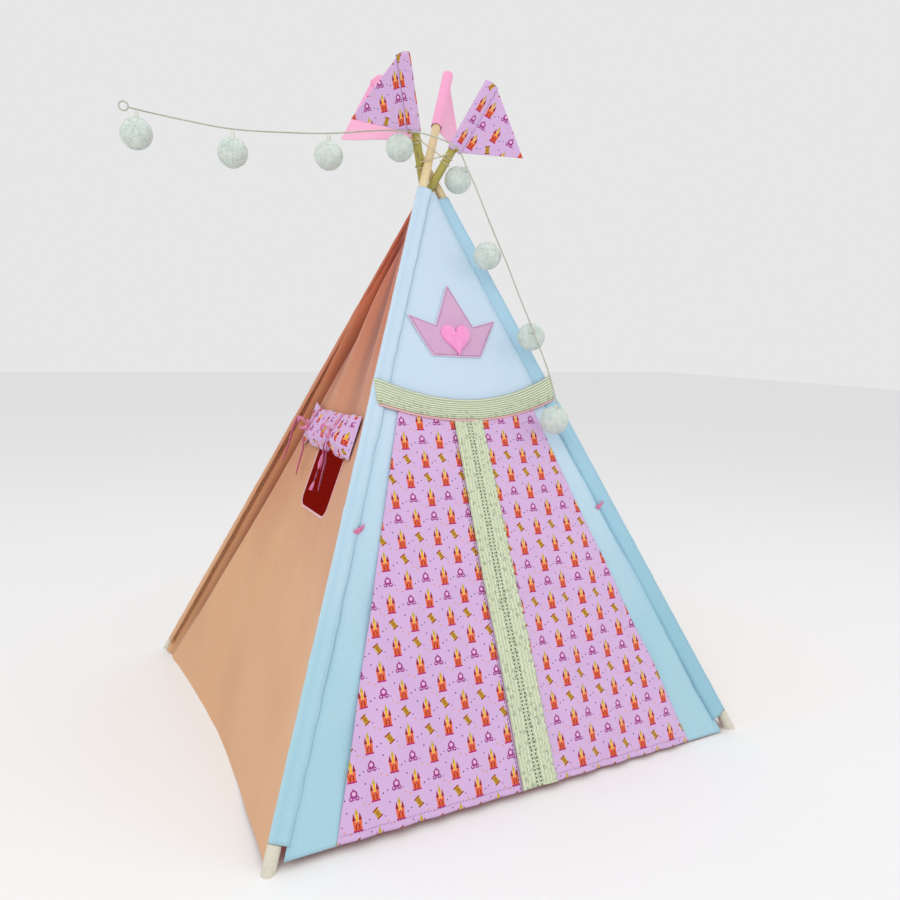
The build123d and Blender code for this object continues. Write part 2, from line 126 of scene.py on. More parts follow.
class TentFace:
    """One face of the tent, with places on it as x across, s up from the floor and lift off the poles."""

    def __init__(self, across: Vector, outward: Vector, left: PoleAxis, right: PoleAxis, outer: PoleAxis) -> None:
        """Lays the face's plane on its outer pole and on the foot of the other one.

        Args:
            across: rough direction of x, to the right as seen from outside.
            outward: rough outward normal.
            left: pole along the left edge.
            right: pole along the right edge.
            outer: whichever of the two lies in the outer layer.
        """
        inner = right if outer is left else left
        normal = outer.direction.cross(inner.at_height(0) - outer.at_height(0)).normalized()
        self.normal = normal if normal.dot(outward) > 0 else -normal
        middle = Vector((outward.x, outward.y, 0)).normalized() * HALF_BASE
        self.origin = middle - self.normal * (middle - outer.at_height(0)).dot(self.normal)
        self.x_dir = (across - self.normal * across.dot(self.normal)).normalized()
        self.s_dir = self.normal.cross(self.x_dir)
        self.left_axis, self.right_axis = left, right

    def place(self, x: float, s: float, lift: float = CLOTH_LIFT) -> Vector:
        """The point at (x, s), at a lift above the poles' plane."""
        return self.origin + self.x_dir * x + self.s_dir * s + self.normal * lift

    def local(self, point: Vector) -> Vector:
        """(x, s, lift) of a point."""
        away = point - self.origin
        return Vector((away.dot(self.x_dir), away.dot(self.s_dir), away.dot(self.normal)))

    def edge(self, axis: PoleAxis, s: float) -> float:
        """x of a pole's axis at height s up the face."""
        top, low = self.local(axis.at(0)), self.local(axis.at(-1))
        return top.x + (low.x - top.x) * (s - top.y) / (low.y - top.y)

    def left(self, s: float) -> float:
        """x of the left pole at height s."""
        return self.edge(self.left_axis, s)

    def right(self, s: float) -> float:
        """x of the right pole at height s."""
        return self.edge(self.right_axis, s)


X_AXIS, Y_AXIS = Vector((1, 0, 0)), Vector((0, 1, 0))
COS, SIN = math.cos(LEAN), math.sin(LEAN)
FRONT = TentFace(X_AXIS, Vector((0, -COS, SIN)), FRONT_LEFT, FRONT_RIGHT, FRONT_LEFT)
LEFT = TentFace(-Y_AXIS, Vector((-COS, 0, SIN)), REAR_LEFT, FRONT_LEFT, FRONT_LEFT)
RIGHT = TentFace(Y_AXIS, Vector((COS, 0, SIN)), FRONT_RIGHT, REAR_RIGHT, FRONT_RIGHT)
BACK = TentFace(-X_AXIS, Vector((0, COS, SIN)), REAR_RIGHT, REAR_LEFT, REAR_RIGHT)


# ---------------------------------------------------------------- small sums
def mix(a: float, b: float, share: float) -> float:
    """The value a share of the way from a to b."""
    return a + (b - a) * share


def ease(value: float, low: float, high: float) -> float:
    """0 below low, 1 above high, and a smooth step between."""
    t = min(1.0, max(0.0, (value - low) / (high - low)))
    return t * t * (3 - 2 * t)


def bump(value: float, middle: float, width: float) -> float:
    """A smooth bell of height 1 about a middle."""
    return math.exp(-((value - middle) / width) ** 2)


def ripple(x: float, y: float, z: float = 0.0) -> float:
    """Smooth noise of about -1 to 1, the same in every run."""
    return noise.noise(Vector((x, y, z)))


def along(points: Sequence[tuple[float, float]], s: float) -> float:
    """x at height s on a broken line of (x, s) places listed from the top down."""
    for (x0, s0), (x1, s1) in zip(points, points[1:]):
        if s >= s1 or (x1, s1) == points[-1]:
            return mix(x0, x1, (s0 - s) / (s0 - s1))
    return points[-1][0]


# ---------------------------------------------------------------- modelling with operators
def deselect() -> None:
    """Nothing is selected, and the mode is object mode."""
    if bpy.context.object and bpy.context.object.mode != "OBJECT":
        bpy.ops.object.mode_set(mode="OBJECT")
    bpy.ops.object.select_all(action="DESELECT")


def select_only(piece: bpy.types.Object) -> None:
    """One piece is selected and active."""
    deselect()
    piece.select_set(True)
    bpy.context.view_layer.objects.active = piece


def settle(piece: bpy.types.Object) -> None:
    """Puts a piece's place, turn and scale into its mesh."""
    select_only(piece)
    bpy.ops.object.transform_apply(location=True, rotation=True, scale=True)


def apply_modifier(piece: bpy.types.Object, kind: str, **settings: object) -> None:
    """Adds a modifier with its settings and applies it."""
    select_only(piece)
    modifier = piece.modifiers.new(kind.title(), kind)
    for name, value in settings.items():
        setattr(modifier, name, value)
    bpy.ops.object.modifier_apply(modifier=modifier.name)


def in_edit(piece: bpy.types.Object, *steps: Callable[[], object]) -> None:
    """Runs edit-mode operators on the whole of a piece."""
    select_only(piece)
    bpy.ops.object.mode_set(mode="EDIT")
    bpy.ops.mesh.select_all(action="SELECT")
    for step in steps:
        step()
    bpy.ops.object.mode_set(mode="OBJECT")


def soften(piece: bpy.types.Object, degrees: float = 180.0) -> None:
    """Smooth shading, except across edges sharper than an angle."""
    select_only(piece)
    if degrees >= 180:
        bpy.ops.object.shade_smooth()
    else:
        bpy.ops.object.shade_smooth_by_angle(angle=math.radians(degrees))


def cut_cloth(name: str, columns: int, rows: int, place: Place, cloth: Callable[[float, float], tuple] | None = None
              ) -> bpy.types.Object:
    """A sheet of cloth: a grid whose every crossing is pulled to its place, with the flat cut as its UV map.

    Args:
        name: the piece's name.
        columns: cells across.
        rows: cells up.
        place: gives the point for a share across and a share up.
        cloth: gives the flat (x, y) in metres for the same shares.
    Returns:
        The sheet, with its normal on the side from which x runs right and s runs up.
    """
    deselect()
    bpy.ops.mesh.primitive_grid_add(x_subdivisions=columns, y_subdivisions=rows, size=1.0, location=(0, 0, 0))
    sheet = bpy.context.object
    sheet.name = name
    mesh = sheet.data
    shares = [(v.co.x + 0.5, v.co.y + 0.5) for v in mesh.vertices]
    layer = mesh.uv_layers.active or mesh.uv_layers.new()
    if cloth:
        for loop in mesh.loops:
            layer.data[loop.index].uv = cloth(*shares[loop.vertex_index])
    for vertex, (u, v) in zip(mesh.vertices, shares):
        vertex.co = place(u, v)
    mesh.update()
    return sheet


def thicken(piece: bpy.types.Object, thickness: float, lining: bool = False) -> None:
    """Gives a sheet its thickness, inwards from its outer side.

    Args:
        piece: the sheet.
        thickness: in metres.
        lining: the inner side takes the piece's second material.
    """
    while lining and len(piece.data.materials) < 2:
        piece.data.materials.append(None)
    apply_modifier(piece, "SOLIDIFY", thickness=thickness, offset=-1.0, use_even_offset=False,
                   material_offset=1 if lining else 0)


def plate(name: str, places: Sequence[Vector], outward: Vector, thickness: float, bevel: float = 0.0
          ) -> bpy.types.Object:
    """A flat plate with a given outline, thickened inwards from its outer side.

    Args:
        name: the piece's name.
        places: the outline's points.
        outward: the way that its outer side faces.
        thickness: in metres.
        bevel: width of the bevel on its edges.
    Returns:
        The plate.
    """
    deselect()
    bpy.ops.mesh.primitive_circle_add(vertices=len(places), radius=0.1, fill_type="NGON")
    piece = bpy.context.object
    piece.name = name
    for vertex, spot in zip(piece.data.vertices, places):
        vertex.co = spot
    piece.data.update()
    if piece.data.polygons[0].normal.dot(outward) < 0:
        in_edit(piece, bpy.ops.mesh.flip_normals)
    apply_modifier(piece, "SOLIDIFY", thickness=thickness, offset=-1.0)
    if bevel:
        apply_modifier(piece, "BEVEL", width=bevel, segments=2, limit_method="ANGLE")
    soften(piece, 30)
    return piece


def ribbon(name: str, route: Route, across: Callable[[float], Vector], rows: int = 60) -> bpy.types.Object:
    """A flat strip that follows a route.

    Args:
        name: the piece's name.
        route: points that the strip's middle passes near.
        across: gives the strip's half width as a vector, for a share along.
        rows: cells along.
    Returns:
        The strip, without thickness.
    """
    smooth = smooth_route(route)

    def place(u: float, v: float) -> Vector:
        middle = smooth[min(int(v * (len(smooth) - 1) + 0.5), len(smooth) - 1)]
        return middle + across(v) * (2 * u - 1)

    return cut_cloth(name, 2, rows, place, lambda u, v: (u * 0.01, v * 0.1))


def smooth_route(route: Route, steps: int = 240) -> list[Vector]:
    """Points close together on a smooth curve through a route."""
    points = [route[0] * 2 - route[1], *route, route[-1] * 2 - route[-2]]
    spans = len(route) - 1
    found = []
    for step in range(steps + 1):
        t = min(step / steps * spans, spans - 1e-6)
        i, t = int(t), t - int(t)
        a, b, c, d = points[i:i + 4]
        found.append(0.5 * (2 * b + (c - a) * t + (2 * a - 5 * b + 4 * c - d) * t**2
                            + (3 * b - a - 3 * c + d) * t**3))
    return found


def laid_cord(name: str, route: Route, radius: float) -> bpy.types.Object:
    """A cord: one smooth NURBS curve near the points of a route, round in section."""
    deselect()
    data = bpy.data.curves.new(name, "CURVE")
    data.dimensions = "3D"
    data.bevel_depth = radius
    data.bevel_resolution = 3
    data.use_fill_caps = True
    data.resolution_u = 12
    spline = data.splines.new("NURBS")
    spline.points.add(len(route) - 1)
    for point, place in zip(spline.points, route):
        point.co = (*place, 1.0)
    spline.order_u = 3
    spline.use_endpoint_u = True
    piece = bpy.data.objects.new(name, data)
    bpy.context.collection.objects.link(piece)
    return piece


def stitches(name: str, route: Route, length: float, gap: float, width: float) -> bpy.types.Object:
    """A row of thread stitches along a route: one rounded stitch, repeated and bent along it.

    Args:
        name: the piece's name.
        route: the points that the row follows.
        length: of one stitch.
        gap: between two stitches.
        width: of the thread as it shows.
    Returns:
        The whole row as one mesh.
    """
    total = sum((b - a).length for a, b in zip(route, route[1:]))
    count = max(2, int(total / (length + gap)))
    deselect()
    bpy.ops.mesh.primitive_cube_add(size=1.0, location=(length / 2, 0, 0), scale=(length, width, width * 0.7))
    row = bpy.context.object
    row.name = name
    settle(row)
    apply_modifier(row, "BEVEL", width=width * 0.3, segments=1)
    apply_modifier(row, "ARRAY", fit_type="FIXED_COUNT", count=count, use_relative_offset=False,
                   use_constant_offset=True, constant_offset_displace=(length + gap, 0, 0))
    data = bpy.data.curves.new(name + "_guide", "CURVE")
    data.dimensions = "3D"
    spline = data.splines.new("POLY")
    spline.points.add(len(route) - 1)
    for point, place in zip(spline.points, route):
        point.co = (*place, 1.0)
    guide = bpy.data.objects.new(name + "_guide", data)
    bpy.context.collection.objects.link(guide)
    apply_modifier(row, "CURVE", object=guide)
    bpy.data.objects.remove(guide)
    soften(row)
    return row


def dress(piece: bpy.types.Object, slot: str, *materials: bpy.types.Material) -> None:
    """Gives a piece its materials, and logs the name of their slot."""
    slots = piece.data.materials
    for number, material in enumerate(materials):
        if number < len(slots):
            slots[number] = material
        else:
            slots.append(material)
    LOG.info("%s: %s", piece.name, slot)


# ---------------------------------------------------------------- finishes
def linear(colour: str) -> tuple[float, float, float, float]:
    """The linear colour of an sRGB hex value."""
    parts = [int(colour[i:i + 2], 16) / 255 for i in (1, 3, 5)]
    return (*(c / 12.92 if c <= 0.04045 else ((c + 0.055) / 1.055) ** 2.4 for c in parts), 1.0)


MIX = {"data_type": "RGBA"}
SHARE, UNDER, OVER, MIXED = 0, 6, 7, 2      # the colour sockets of a Mix node, which its names don't tell apart


class Recipe:
    """One material under construction: its node tree, its shader, and the call that adds a node."""

    def __init__(self, name: str, roughness: float, **constants: object) -> None:
        """Starts the material with a Principled shader.

        Args:
            name: the finish's name.
            roughness: set on the shader.
            constants: further values for the shader's own sockets, by socket name.
        """
        self.material = bpy.data.materials.new(name)
        self.material.use_nodes = True
        self.tree = self.material.node_tree
        self.shader = self.tree.nodes["Principled BSDF"]
        self.shader.inputs["Roughness"].default_value = roughness
        for socket, value in constants.items():
            self.shader.inputs[socket.replace("_", " ")].default_value = value

    def add(self, kind: str, inputs: Sequence | dict = (), out: int | str = 0, **settings: object
            ) -> bpy.types.NodeSocket:
        """Adds a node with its settings and links.

        Args:
            kind: the node's type, without its prefix.
            inputs: values or sockets for its inputs, in order or by name or number.
            out: which output to give back.
            settings: attributes of the node.
        Returns:
            That output.
        """
        node = self.tree.nodes.new("ShaderNode" + kind)
        for name, value in settings.items():
            setattr(node, name, value)
        pairs = inputs.items() if isinstance(inputs, dict) else enumerate(inputs)
        for key, value in pairs:
            if isinstance(value, bpy.types.NodeSocket):
                self.tree.links.new(value, node.inputs[key])
            elif value is not None:
                node.inputs[key].default_value = value
        return node.outputs[out]

    def drive(self, socket: str, value: object) -> None:
        """Sets or links one of the shader's own sockets."""
        if isinstance(value, bpy.types.NodeSocket):
            self.tree.links.new(value, self.shader.inputs[socket])
        else:
            self.shader.inputs[socket].default_value = value


@dataclass(frozen=True)
class Canvas:
    """Plain-woven cotton canvas: dull, slightly hairy, its weave just seen, with painted shade in its creases.

    Args:
        name: the finish's name.
        low: colour near the hem.
        high: colour near the top; the turn from low to high with height is painted light and shade.
        crease_shade: colour of the painted shade in the creases.
        rise: heights at which low starts to turn and high is reached.
        glow: light that comes through the cloth from its other side.
    """

    name: str
    low: str
    high: str
    crease_shade: str
    rise: tuple[float, float] = (0.3, 1.3)
    glow: float = 0.0

    def make(self) -> bpy.types.Material:
        """Builds the material."""
        made = Recipe(self.name, 0.88, Sheen_Weight=0.25, Sheen_Roughness=0.6, Specular_IOR_Level=0.25,
                      Emission_Color=linear(self.low), Emission_Strength=self.glow)
        place = made.add("TexCoord", out="Object")
        # Painted light and shade: the colour turns from low to high with height, so the peach walls darken towards the
        # top and the blue cover lightens.
        cloudy = made.add("TexNoise", {"Vector": place, "Scale": 7.0, "Detail": 3.0})
        drift = made.add("Math", (cloudy, 0.35, -0.175), operation="MULTIPLY_ADD")
        height = made.add("Math", (made.add("SeparateXYZ", (place,), out=2), drift), operation="ADD")
        share = made.add("MapRange", {"Value": height, "From Min": self.rise[0], "From Max": self.rise[1]})
        base = made.add("Mix", {SHARE: share, UNDER: linear(self.low), OVER: linear(self.high)}, MIXED, **MIX)
        # Painted shade in the creases: the colour is drawn towards the darker colour of the creases by each point's
        # depth in a fold.
        shade = made.add("Attribute", out="Fac", attribute_name="crease_shade")
        base = made.add("Mix", {SHARE: shade, UNDER: base, OVER: linear(self.crease_shade)}, MIXED, **MIX)
        # Threads are 0.4 mm apart; they are drawn at 1.6 mm so that they show.
        uv = made.add("UVMap")
        weft = made.add("TexWave", {"Vector": uv, "Scale": 100.0, "Distortion": 1.2}, "Fac", bands_direction="X")
        warp = made.add("TexWave", {"Vector": uv, "Scale": 100.0, "Distortion": 1.2}, "Fac", bands_direction="Y")
        weave = made.add("Math", (weft, warp), operation="MULTIPLY")
        slub = made.add("TexNoise", {"Vector": uv, "Scale": 60.0, "Detail": 4.0})
        uneven = made.add("Math", (weave, slub), operation="SUBTRACT")
        tone = made.add("Math", (uneven, 0.10, 0.02), operation="MULTIPLY_ADD", use_clamp=True)
        made.drive("Base Color", made.add("Mix", {SHARE: tone, UNDER: base, OVER: linear(self.crease_shade)}, MIXED, **MIX))
        rumple = made.add("TexNoise", {"Vector": place, "Scale": 24.0, "Detail": 5.0})
        height = made.add("Math", (rumple, 8.0, weave), operation="MULTIPLY_ADD")
        made.drive("Normal", made.add("Bump", {"Strength": 0.6, "Distance": 0.0005, "Height": height}))
        return made.material


@dataclass(frozen=True)
class Shape:
    """One flat shape of a printed motif, in millimetres.

    Args:
        kind: box, roof or disc.
        at: middle of a box or disc, and of the lower edge of a roof.
        size: half width and half height of a box, half width and height of a roof, radius of a disc twice.
        ink: sRGB hex colour.
    """

    kind: str
    at: tuple[float, float]
    size: tuple[float, float]
    ink: str


RED, ORANGE, YELLOW, MAGENTA, PLUM, GOLD, NAVY, PEACH = (
    "#960c10", "#e4602c", "#f2b428", "#b4126c", "#9c3084", "#c4a61c", "#241c50", "#dc9a68")

CASTLE = (
    Shape("box", (0, -11.5), (8.0, 7.5), ORANGE), Shape("box", (0, -19.2), (9.2, 1.5), MAGENTA),
    Shape("box", (-6.0, -3.0), (2.4, 6.0), ORANGE), Shape("box", (6.0, -3.0), (2.4, 6.0), ORANGE),
    Shape("box", (0, 2.0), (2.7, 7.0), YELLOW),
    Shape("roof", (-6.0, -1.0), (3.4, 13.0), RED), Shape("roof", (6.0, -1.0), (3.4, 13.0), RED),
    Shape("roof", (0, 9.0), (3.4, 11.5), GOLD),
    Shape("box", (-3.2, -12.6), (1.2, 4.6), RED), Shape("box", (3.2, -12.6), (1.2, 4.6), RED),
    Shape("box", (0, -6.5), (0.9, 2.6), MAGENTA),
)
CARRIAGE = (
    Shape("disc", (0, 1.5), (7.0, 7.0), PLUM), Shape("disc", (0, 2.2), (3.6, 3.6), "#e8b8dc"),
    Shape("disc", (-6.0, -6.0), (3.9, 3.9), PLUM), Shape("disc", (6.0, -6.0), (3.9, 3.9), PLUM),
    Shape("disc", (-6.0, -6.0), (1.7, 1.7), "#e0c0e4"), Shape("disc", (6.0, -6.0), (1.7, 1.7), "#e0c0e4"),
    Shape("roof", (0, 7.0), (2.6, 5.0), PLUM), Shape("box", (0, -7.6), (8.6, 0.8), PLUM),
)
SCROLL = (
    Shape("box", (0, 0), (9.4, 5.2), GOLD), Shape("box", (-7.8, 0), (1.2, 6.6), RED),
    Shape("box", (7.8, 0), (1.2, 6.6), RED), Shape("box", (0, 1.9), (5.2, 0.8), RED),
    Shape("box", (0, -1.5), (5.2, 0.8), RED),
)
DOTS = (
    Shape("disc", (-17, 14), (1.4, 1.4), NAVY), Shape("disc", (16, -10), (1.4, 1.4), NAVY),
    Shape("disc", (-15, -22), (1.7, 1.7), PEACH), Shape("disc", (17, 24), (1.7, 1.7), PEACH),
    Shape("disc", (-18, 35), (1.3, 1.3), NAVY), Shape("disc", (14, 33), (1.3, 1.3), PLUM),
)


@dataclass(frozen=True)
class PrintedCotton:
    """Printed quilting cotton: flat inks of small castles, carriages and scrolls on a lilac ground.

    Args:
        name: the finish's name.
        ground: the cloth's own colour.
        shadow: the ground's darker, uneven tone.
        pitch: column and row pitch of the castles, in metres.
    """

    name: str
    ground: str = "#dcb6e0"
    shadow: str = "#cfaedb"
    pitch: tuple[float, float] = (0.0425, 0.082)

    def motif(self, made: Recipe, at: bpy.types.NodeSocket, shapes: Sequence[Shape], under: object,
              shown: object = 1.0) -> bpy.types.NodeSocket:
        """Prints a motif's shapes over a colour.

        Args:
            made: the material.
            at: position from the motif's middle, in millimetres.
            shapes: listed from the lowest to the topmost.
            under: the colour below.
            shown: share by which the motif shows.
        Returns:
            The colour with the motif on it.
        """
        for shape in shapes:
            off = made.add("VectorMath", (at, (*shape.at, 0)), operation="SUBTRACT")
            if shape.kind == "disc":
                away = made.add("VectorMath", (off,), "Value", operation="LENGTH")
                inside = made.add("Math", (away, shape.size[0]), operation="LESS_THAN")
            else:
                far = made.add("VectorMath", (off,), operation="ABSOLUTE")
                if shape.kind == "box":
                    far = made.add("VectorMath", (far, (*shape.size, 0)), operation="SUBTRACT")
                    x, y = (made.add("SeparateXYZ", (far,), n) for n in (0, 1))
                    inside = made.add("Math", (made.add("Math", (x, y), operation="MAXIMUM"), 0.0),
                                      operation="LESS_THAN")
                else:
                    x, y = made.add("SeparateXYZ", (far,), 0), made.add("SeparateXYZ", (off,), 1)
                    edge = made.add("Math", (x, shape.size[1] / shape.size[0], y), operation="MULTIPLY_ADD")
                    inside = made.add("Math", (made.add("Math", (edge, shape.size[1]), operation="LESS_THAN"),
                                               made.add("Math", (y, 0.0), operation="GREATER_THAN")),
                                      operation="MULTIPLY")
            inside = made.add("Math", (inside, shown), operation="MULTIPLY")
            under = made.add("Mix", {SHARE: inside, UNDER: under, OVER: linear(shape.ink)}, MIXED, **MIX)
        return under

    def make(self) -> bpy.types.Material:
        """Builds the material."""
        made = Recipe(self.name, 0.82, Sheen_Weight=0.2, Sheen_Roughness=0.6, Specular_IOR_Level=0.3)
        uv = made.add("UVMap")
        column = made.add("Math", (made.add("SeparateXYZ", (uv,), 0), 1 / self.pitch[0]), operation="MULTIPLY")
        number = made.add("Math", (column,), operation="FLOOR")
        odd = made.add("Math", (number, 2.0), operation="FLOORED_MODULO")
        row = made.add("Math", (made.add("SeparateXYZ", (uv,), 1), 1 / self.pitch[1],
                                made.add("Math", (odd, 0.5), operation="MULTIPLY")), operation="MULTIPLY_ADD")
        across = made.add("Math", (made.add("Math", (column,), operation="FRACT"), self.pitch[0] * 1000,
                                   -self.pitch[0] * 500), operation="MULTIPLY_ADD")
        places = []
        for offset in (0.0, 0.5):
            shifted = made.add("Math", (made.add("Math", (row, offset), operation="ADD"),), operation="FRACT")
            up = made.add("Math", (shifted, self.pitch[1] * 1000, -self.pitch[1] * 500), operation="MULTIPLY_ADD")
            places.append(made.add("CombineXYZ", (across, up)))
        between = made.add("Math", (made.add("Math", (row, 0.5), operation="ADD"),), operation="FLOOR")
        turn = made.add("Math", (made.add("Math", (between, number), operation="ADD"), 2.0),
                        operation="FLOORED_MODULO")
        other = made.add("Math", (1.0, turn), operation="SUBTRACT")
        cloudy = made.add("TexNoise", {"Vector": made.add("TexCoord", out="Object"), "Scale": 9.0})
        ground = made.add("Mix", {SHARE: cloudy, UNDER: linear(self.ground), OVER: linear(self.shadow)}, MIXED, **MIX)
        colour = self.motif(made, places[0], (*DOTS, *CASTLE), ground)
        slanted = made.add("VectorRotate", {"Vector": places[1], "Angle": 1.05}, rotation_type="Z_AXIS")
        colour = self.motif(made, places[1], CARRIAGE, colour, turn)
        made.drive("Base Color", self.motif(made, slanted, SCROLL, colour, other))
        # Threads are 0.25 mm apart; they are drawn at 1.2 mm so that they show.
        weft = made.add("TexWave", {"Vector": uv, "Scale": 130.0, "Distortion": 1.0}, "Fac", bands_direction="X")
        warp = made.add("TexWave", {"Vector": uv, "Scale": 130.0, "Distortion": 1.0}, "Fac", bands_direction="Y")
        weave = made.add("Math", (weft, warp), operation="MULTIPLY")
        rumple = made.add("TexNoise", {"Vector": made.add("TexCoord", out="Object"), "Scale": 30.0, "Detail": 4.0})
        height = made.add("Math", (rumple, 8.0, weave), operation="MULTIPLY_ADD")
        made.drive("Normal", made.add("Bump", {"Strength": 0.5, "Distance": 0.0004, "Height": height}))
        return made.material


@dataclass(frozen=True)
class TurnedPole:
    """Barked round pole of pale softwood, varnished thin: long grain along the pole, knots and a faint gloss.

    Args:
        name: the finish's name.
        pale: the wood's light tone.
        dark: grain and shadowed tone.
        along: the pole's direction, which the grain follows.
    """

    name: str
    pale: str
    dark: str
    along: Vector

    def make(self) -> bpy.types.Material:
        """Builds the material."""
        made = Recipe(self.name, 0.5, Specular_IOR_Level=0.4, Coat_Weight=0.12, Coat_Roughness=0.35)
        turn = self.along.rotation_difference(Vector((0, 0, 1))).to_euler()
        place = made.add("Mapping", {"Vector": made.add("TexCoord", out="Object"), "Rotation": turn})
        # Grain lines are 1 to 2 mm wide and tens of millimetres long.
        long = made.add("VectorMath", (place, (1.0, 1.0, 0.06)), operation="MULTIPLY")
        grain = made.add("TexNoise", {"Vector": long, "Scale": 320.0, "Detail": 5.0, "Distortion": 0.4})
        broad = made.add("TexNoise", {"Vector": long, "Scale": 60.0, "Detail": 2.0})
        knots = made.add("TexVoronoi", {"Vector": made.add("VectorMath", (place, (1.0, 1.0, 0.35)),
                                                           operation="MULTIPLY"), "Scale": 24.0})
        knot = made.add("MapRange", {"Value": knots, "From Min": 0.05, "From Max": 0.16, "To Min": 0.8,
                                     "To Max": 0.0})
        tone = made.add("Math", (grain, 0.5, made.add("Math", (broad, 0.5, -0.15), operation="MULTIPLY_ADD")),
                        operation="MULTIPLY_ADD")
        tone = made.add("Math", (tone, knot), operation="MAXIMUM", use_clamp=True)
        colour = made.add("Mix", {SHARE: tone, UNDER: linear(self.pale), OVER: linear(self.dark)}, MIXED, **MIX)
        made.drive("Base Color", colour)
        made.drive("Normal", made.add("Bump", {"Strength": 0.5, "Distance": 0.0004, "Height": grain}))
        return made.material


class LaceKind(Enum):
    """Which of the two laces a pattern belongs to."""

    BAND = "band"
    STRIP = "strip"


@dataclass(frozen=True)
class CottonLace:
    """Machine-made cotton lace: raised cords and a net whose holes are darker specks, painted shade of what lies
    behind.

    Args:
        name: the finish's name.
        kind: the band across the face or the strip down the door.
        thread: colour of the thread.
        hole: colour of the holes and the furrows, painted shade.
    """

    name: str
    kind: LaceKind
    thread: str = "#e0e6cc"
    hole: str = "#5c6a50"

    def make(self) -> bpy.types.Material:
        """Builds the material."""
        made = Recipe(self.name, 0.9, Sheen_Weight=0.2, Specular_IOR_Level=0.2)
        uv = made.add("UVMap")
        x, y = (made.add("SeparateXYZ", (uv,), n) for n in (0, 1))
        net = made.add("TexVoronoi", {"Vector": uv, "Scale": 330.0, "Randomness": 0.35}, "Distance")
        flower = made.add("TexVoronoi", {"Vector": uv, "Scale": 62.0, "Randomness": 0.5}, "Distance")
        petals = made.add("Math", (made.add("Math", (flower, 9.0), operation="MULTIPLY"),), operation="SINE")
        holes = made.add("MapRange", {"Value": net, "From Min": 0.42, "From Max": 0.28, "To Min": 0.0,
                                      "To Max": 0.85})
        gaps = made.add("Math", (holes, made.add("MapRange", {"Value": petals, "From Min": -0.2, "From Max": 0.5,
                                                              "To Min": 0.15, "To Max": 1.0})),
                        operation="MULTIPLY")
        if self.kind is LaceKind.STRIP:
            # Two columns of holes, 5 mm apart, down the middle of the strip.
            side = made.add("Math", (made.add("Math", (x,), operation="ABSOLUTE"), 0.0045), operation="SUBTRACT")
            near = made.add("Math", (made.add("Math", (side,), operation="ABSOLUTE"), 0.0016),
                            operation="LESS_THAN")
            step = made.add("Math", (made.add("Math", (y, 1 / 0.0075), operation="MULTIPLY"),), operation="FRACT")
            ladder = made.add("Math", (near, made.add("Math", (step, 0.55), operation="LESS_THAN")),
                              operation="MULTIPLY")
            gaps = made.add("Math", (gaps, ladder), operation="MAXIMUM")
            cords = made.add("TexWave", {"Vector": uv, "Scale": 42.0, "Distortion": 3.0}, "Fac",
                             bands_direction="X")
        else:
            cords = made.add("TexWave", {"Vector": uv, "Scale": 60.0, "Distortion": 0.8, "Detail": 1.0}, "Fac",
                             bands_direction="Y")
            low = made.add("MapRange", {"Value": y, "From Min": 0.012, "From Max": 0.03, "To Min": 1.0,
                                        "To Max": 0.25})
            gaps = made.add("Math", (gaps, low), operation="MULTIPLY")
            furrow = made.add("Math", (cords, 0.22), operation="LESS_THAN")
            gaps = made.add("Math", (gaps, made.add("Math", (furrow, 0.45), operation="MULTIPLY")),
                            operation="MAXIMUM")
        # Painted shade: the thread darkens between the raised cords, and the holes and furrows take the hole colour.
        base = made.add("Mix", {SHARE: cords, UNDER: linear("#c2cda8"), OVER: linear(self.thread)}, MIXED, **MIX)
        made.drive("Base Color", made.add("Mix", {SHARE: gaps, UNDER: base, OVER: linear(self.hole)}, MIXED, **MIX))
        solid = made.add("Math", (1.0, gaps), operation="SUBTRACT")
        height = made.add("Math", (cords, 0.6, solid), operation="MULTIPLY_ADD")
        made.drive("Normal", made.add("Bump", {"Strength": 0.8, "Distance": 0.0012, "Height": height}))
        return made.material


@dataclass(frozen=True)
class PlainStuff:
    """A one-colour material with its own grain: felt, satin, thread, cord, rubber or moulded plastic.

    Args:
        name: the finish's name, which says what the material is.
        pale: its light tone.
        dark: painted shade in its hollows.
        roughness: typical for the material.
        grain: size of its grain, in metres.
        depth: depth of its grain, in metres.
        sheen: how hairy it is.
        gloss: coat, for satin and plastic.
    """

    name: str
    pale: str
    dark: str
    roughness: float
    grain: float
    depth: float
    sheen: float = 0.0
    gloss: float = 0.0

    def make(self) -> bpy.types.Material:
        """Builds the material."""
        made = Recipe(self.name, self.roughness, Sheen_Weight=self.sheen, Coat_Weight=self.gloss,
                      Coat_Roughness=0.3)
        place = made.add("TexCoord", out="Object")
        fine = made.add("TexNoise", {"Vector": place, "Scale": 0.6 / self.grain, "Detail": 4.0})
        broad = made.add("TexNoise", {"Vector": place, "Scale": 0.05 / self.grain, "Detail": 2.0})
        # Painted shade: the fine grain is darker where its bump is low; the broad noise is the stuff's own uneven
        # tone.
        tone = made.add("Math", (fine, made.add("Math", (broad, 0.6, -0.3), operation="MULTIPLY_ADD")),
                        operation="ADD", use_clamp=True)
        colour = made.add("Mix", {SHARE: tone, UNDER: linear(self.dark), OVER: linear(self.pale)}, MIXED, **MIX)
        made.drive("Base Color", colour)
        made.drive("Normal", made.add("Bump", {"Strength": 0.7, "Distance": self.depth, "Height": fine}))
        return made.material


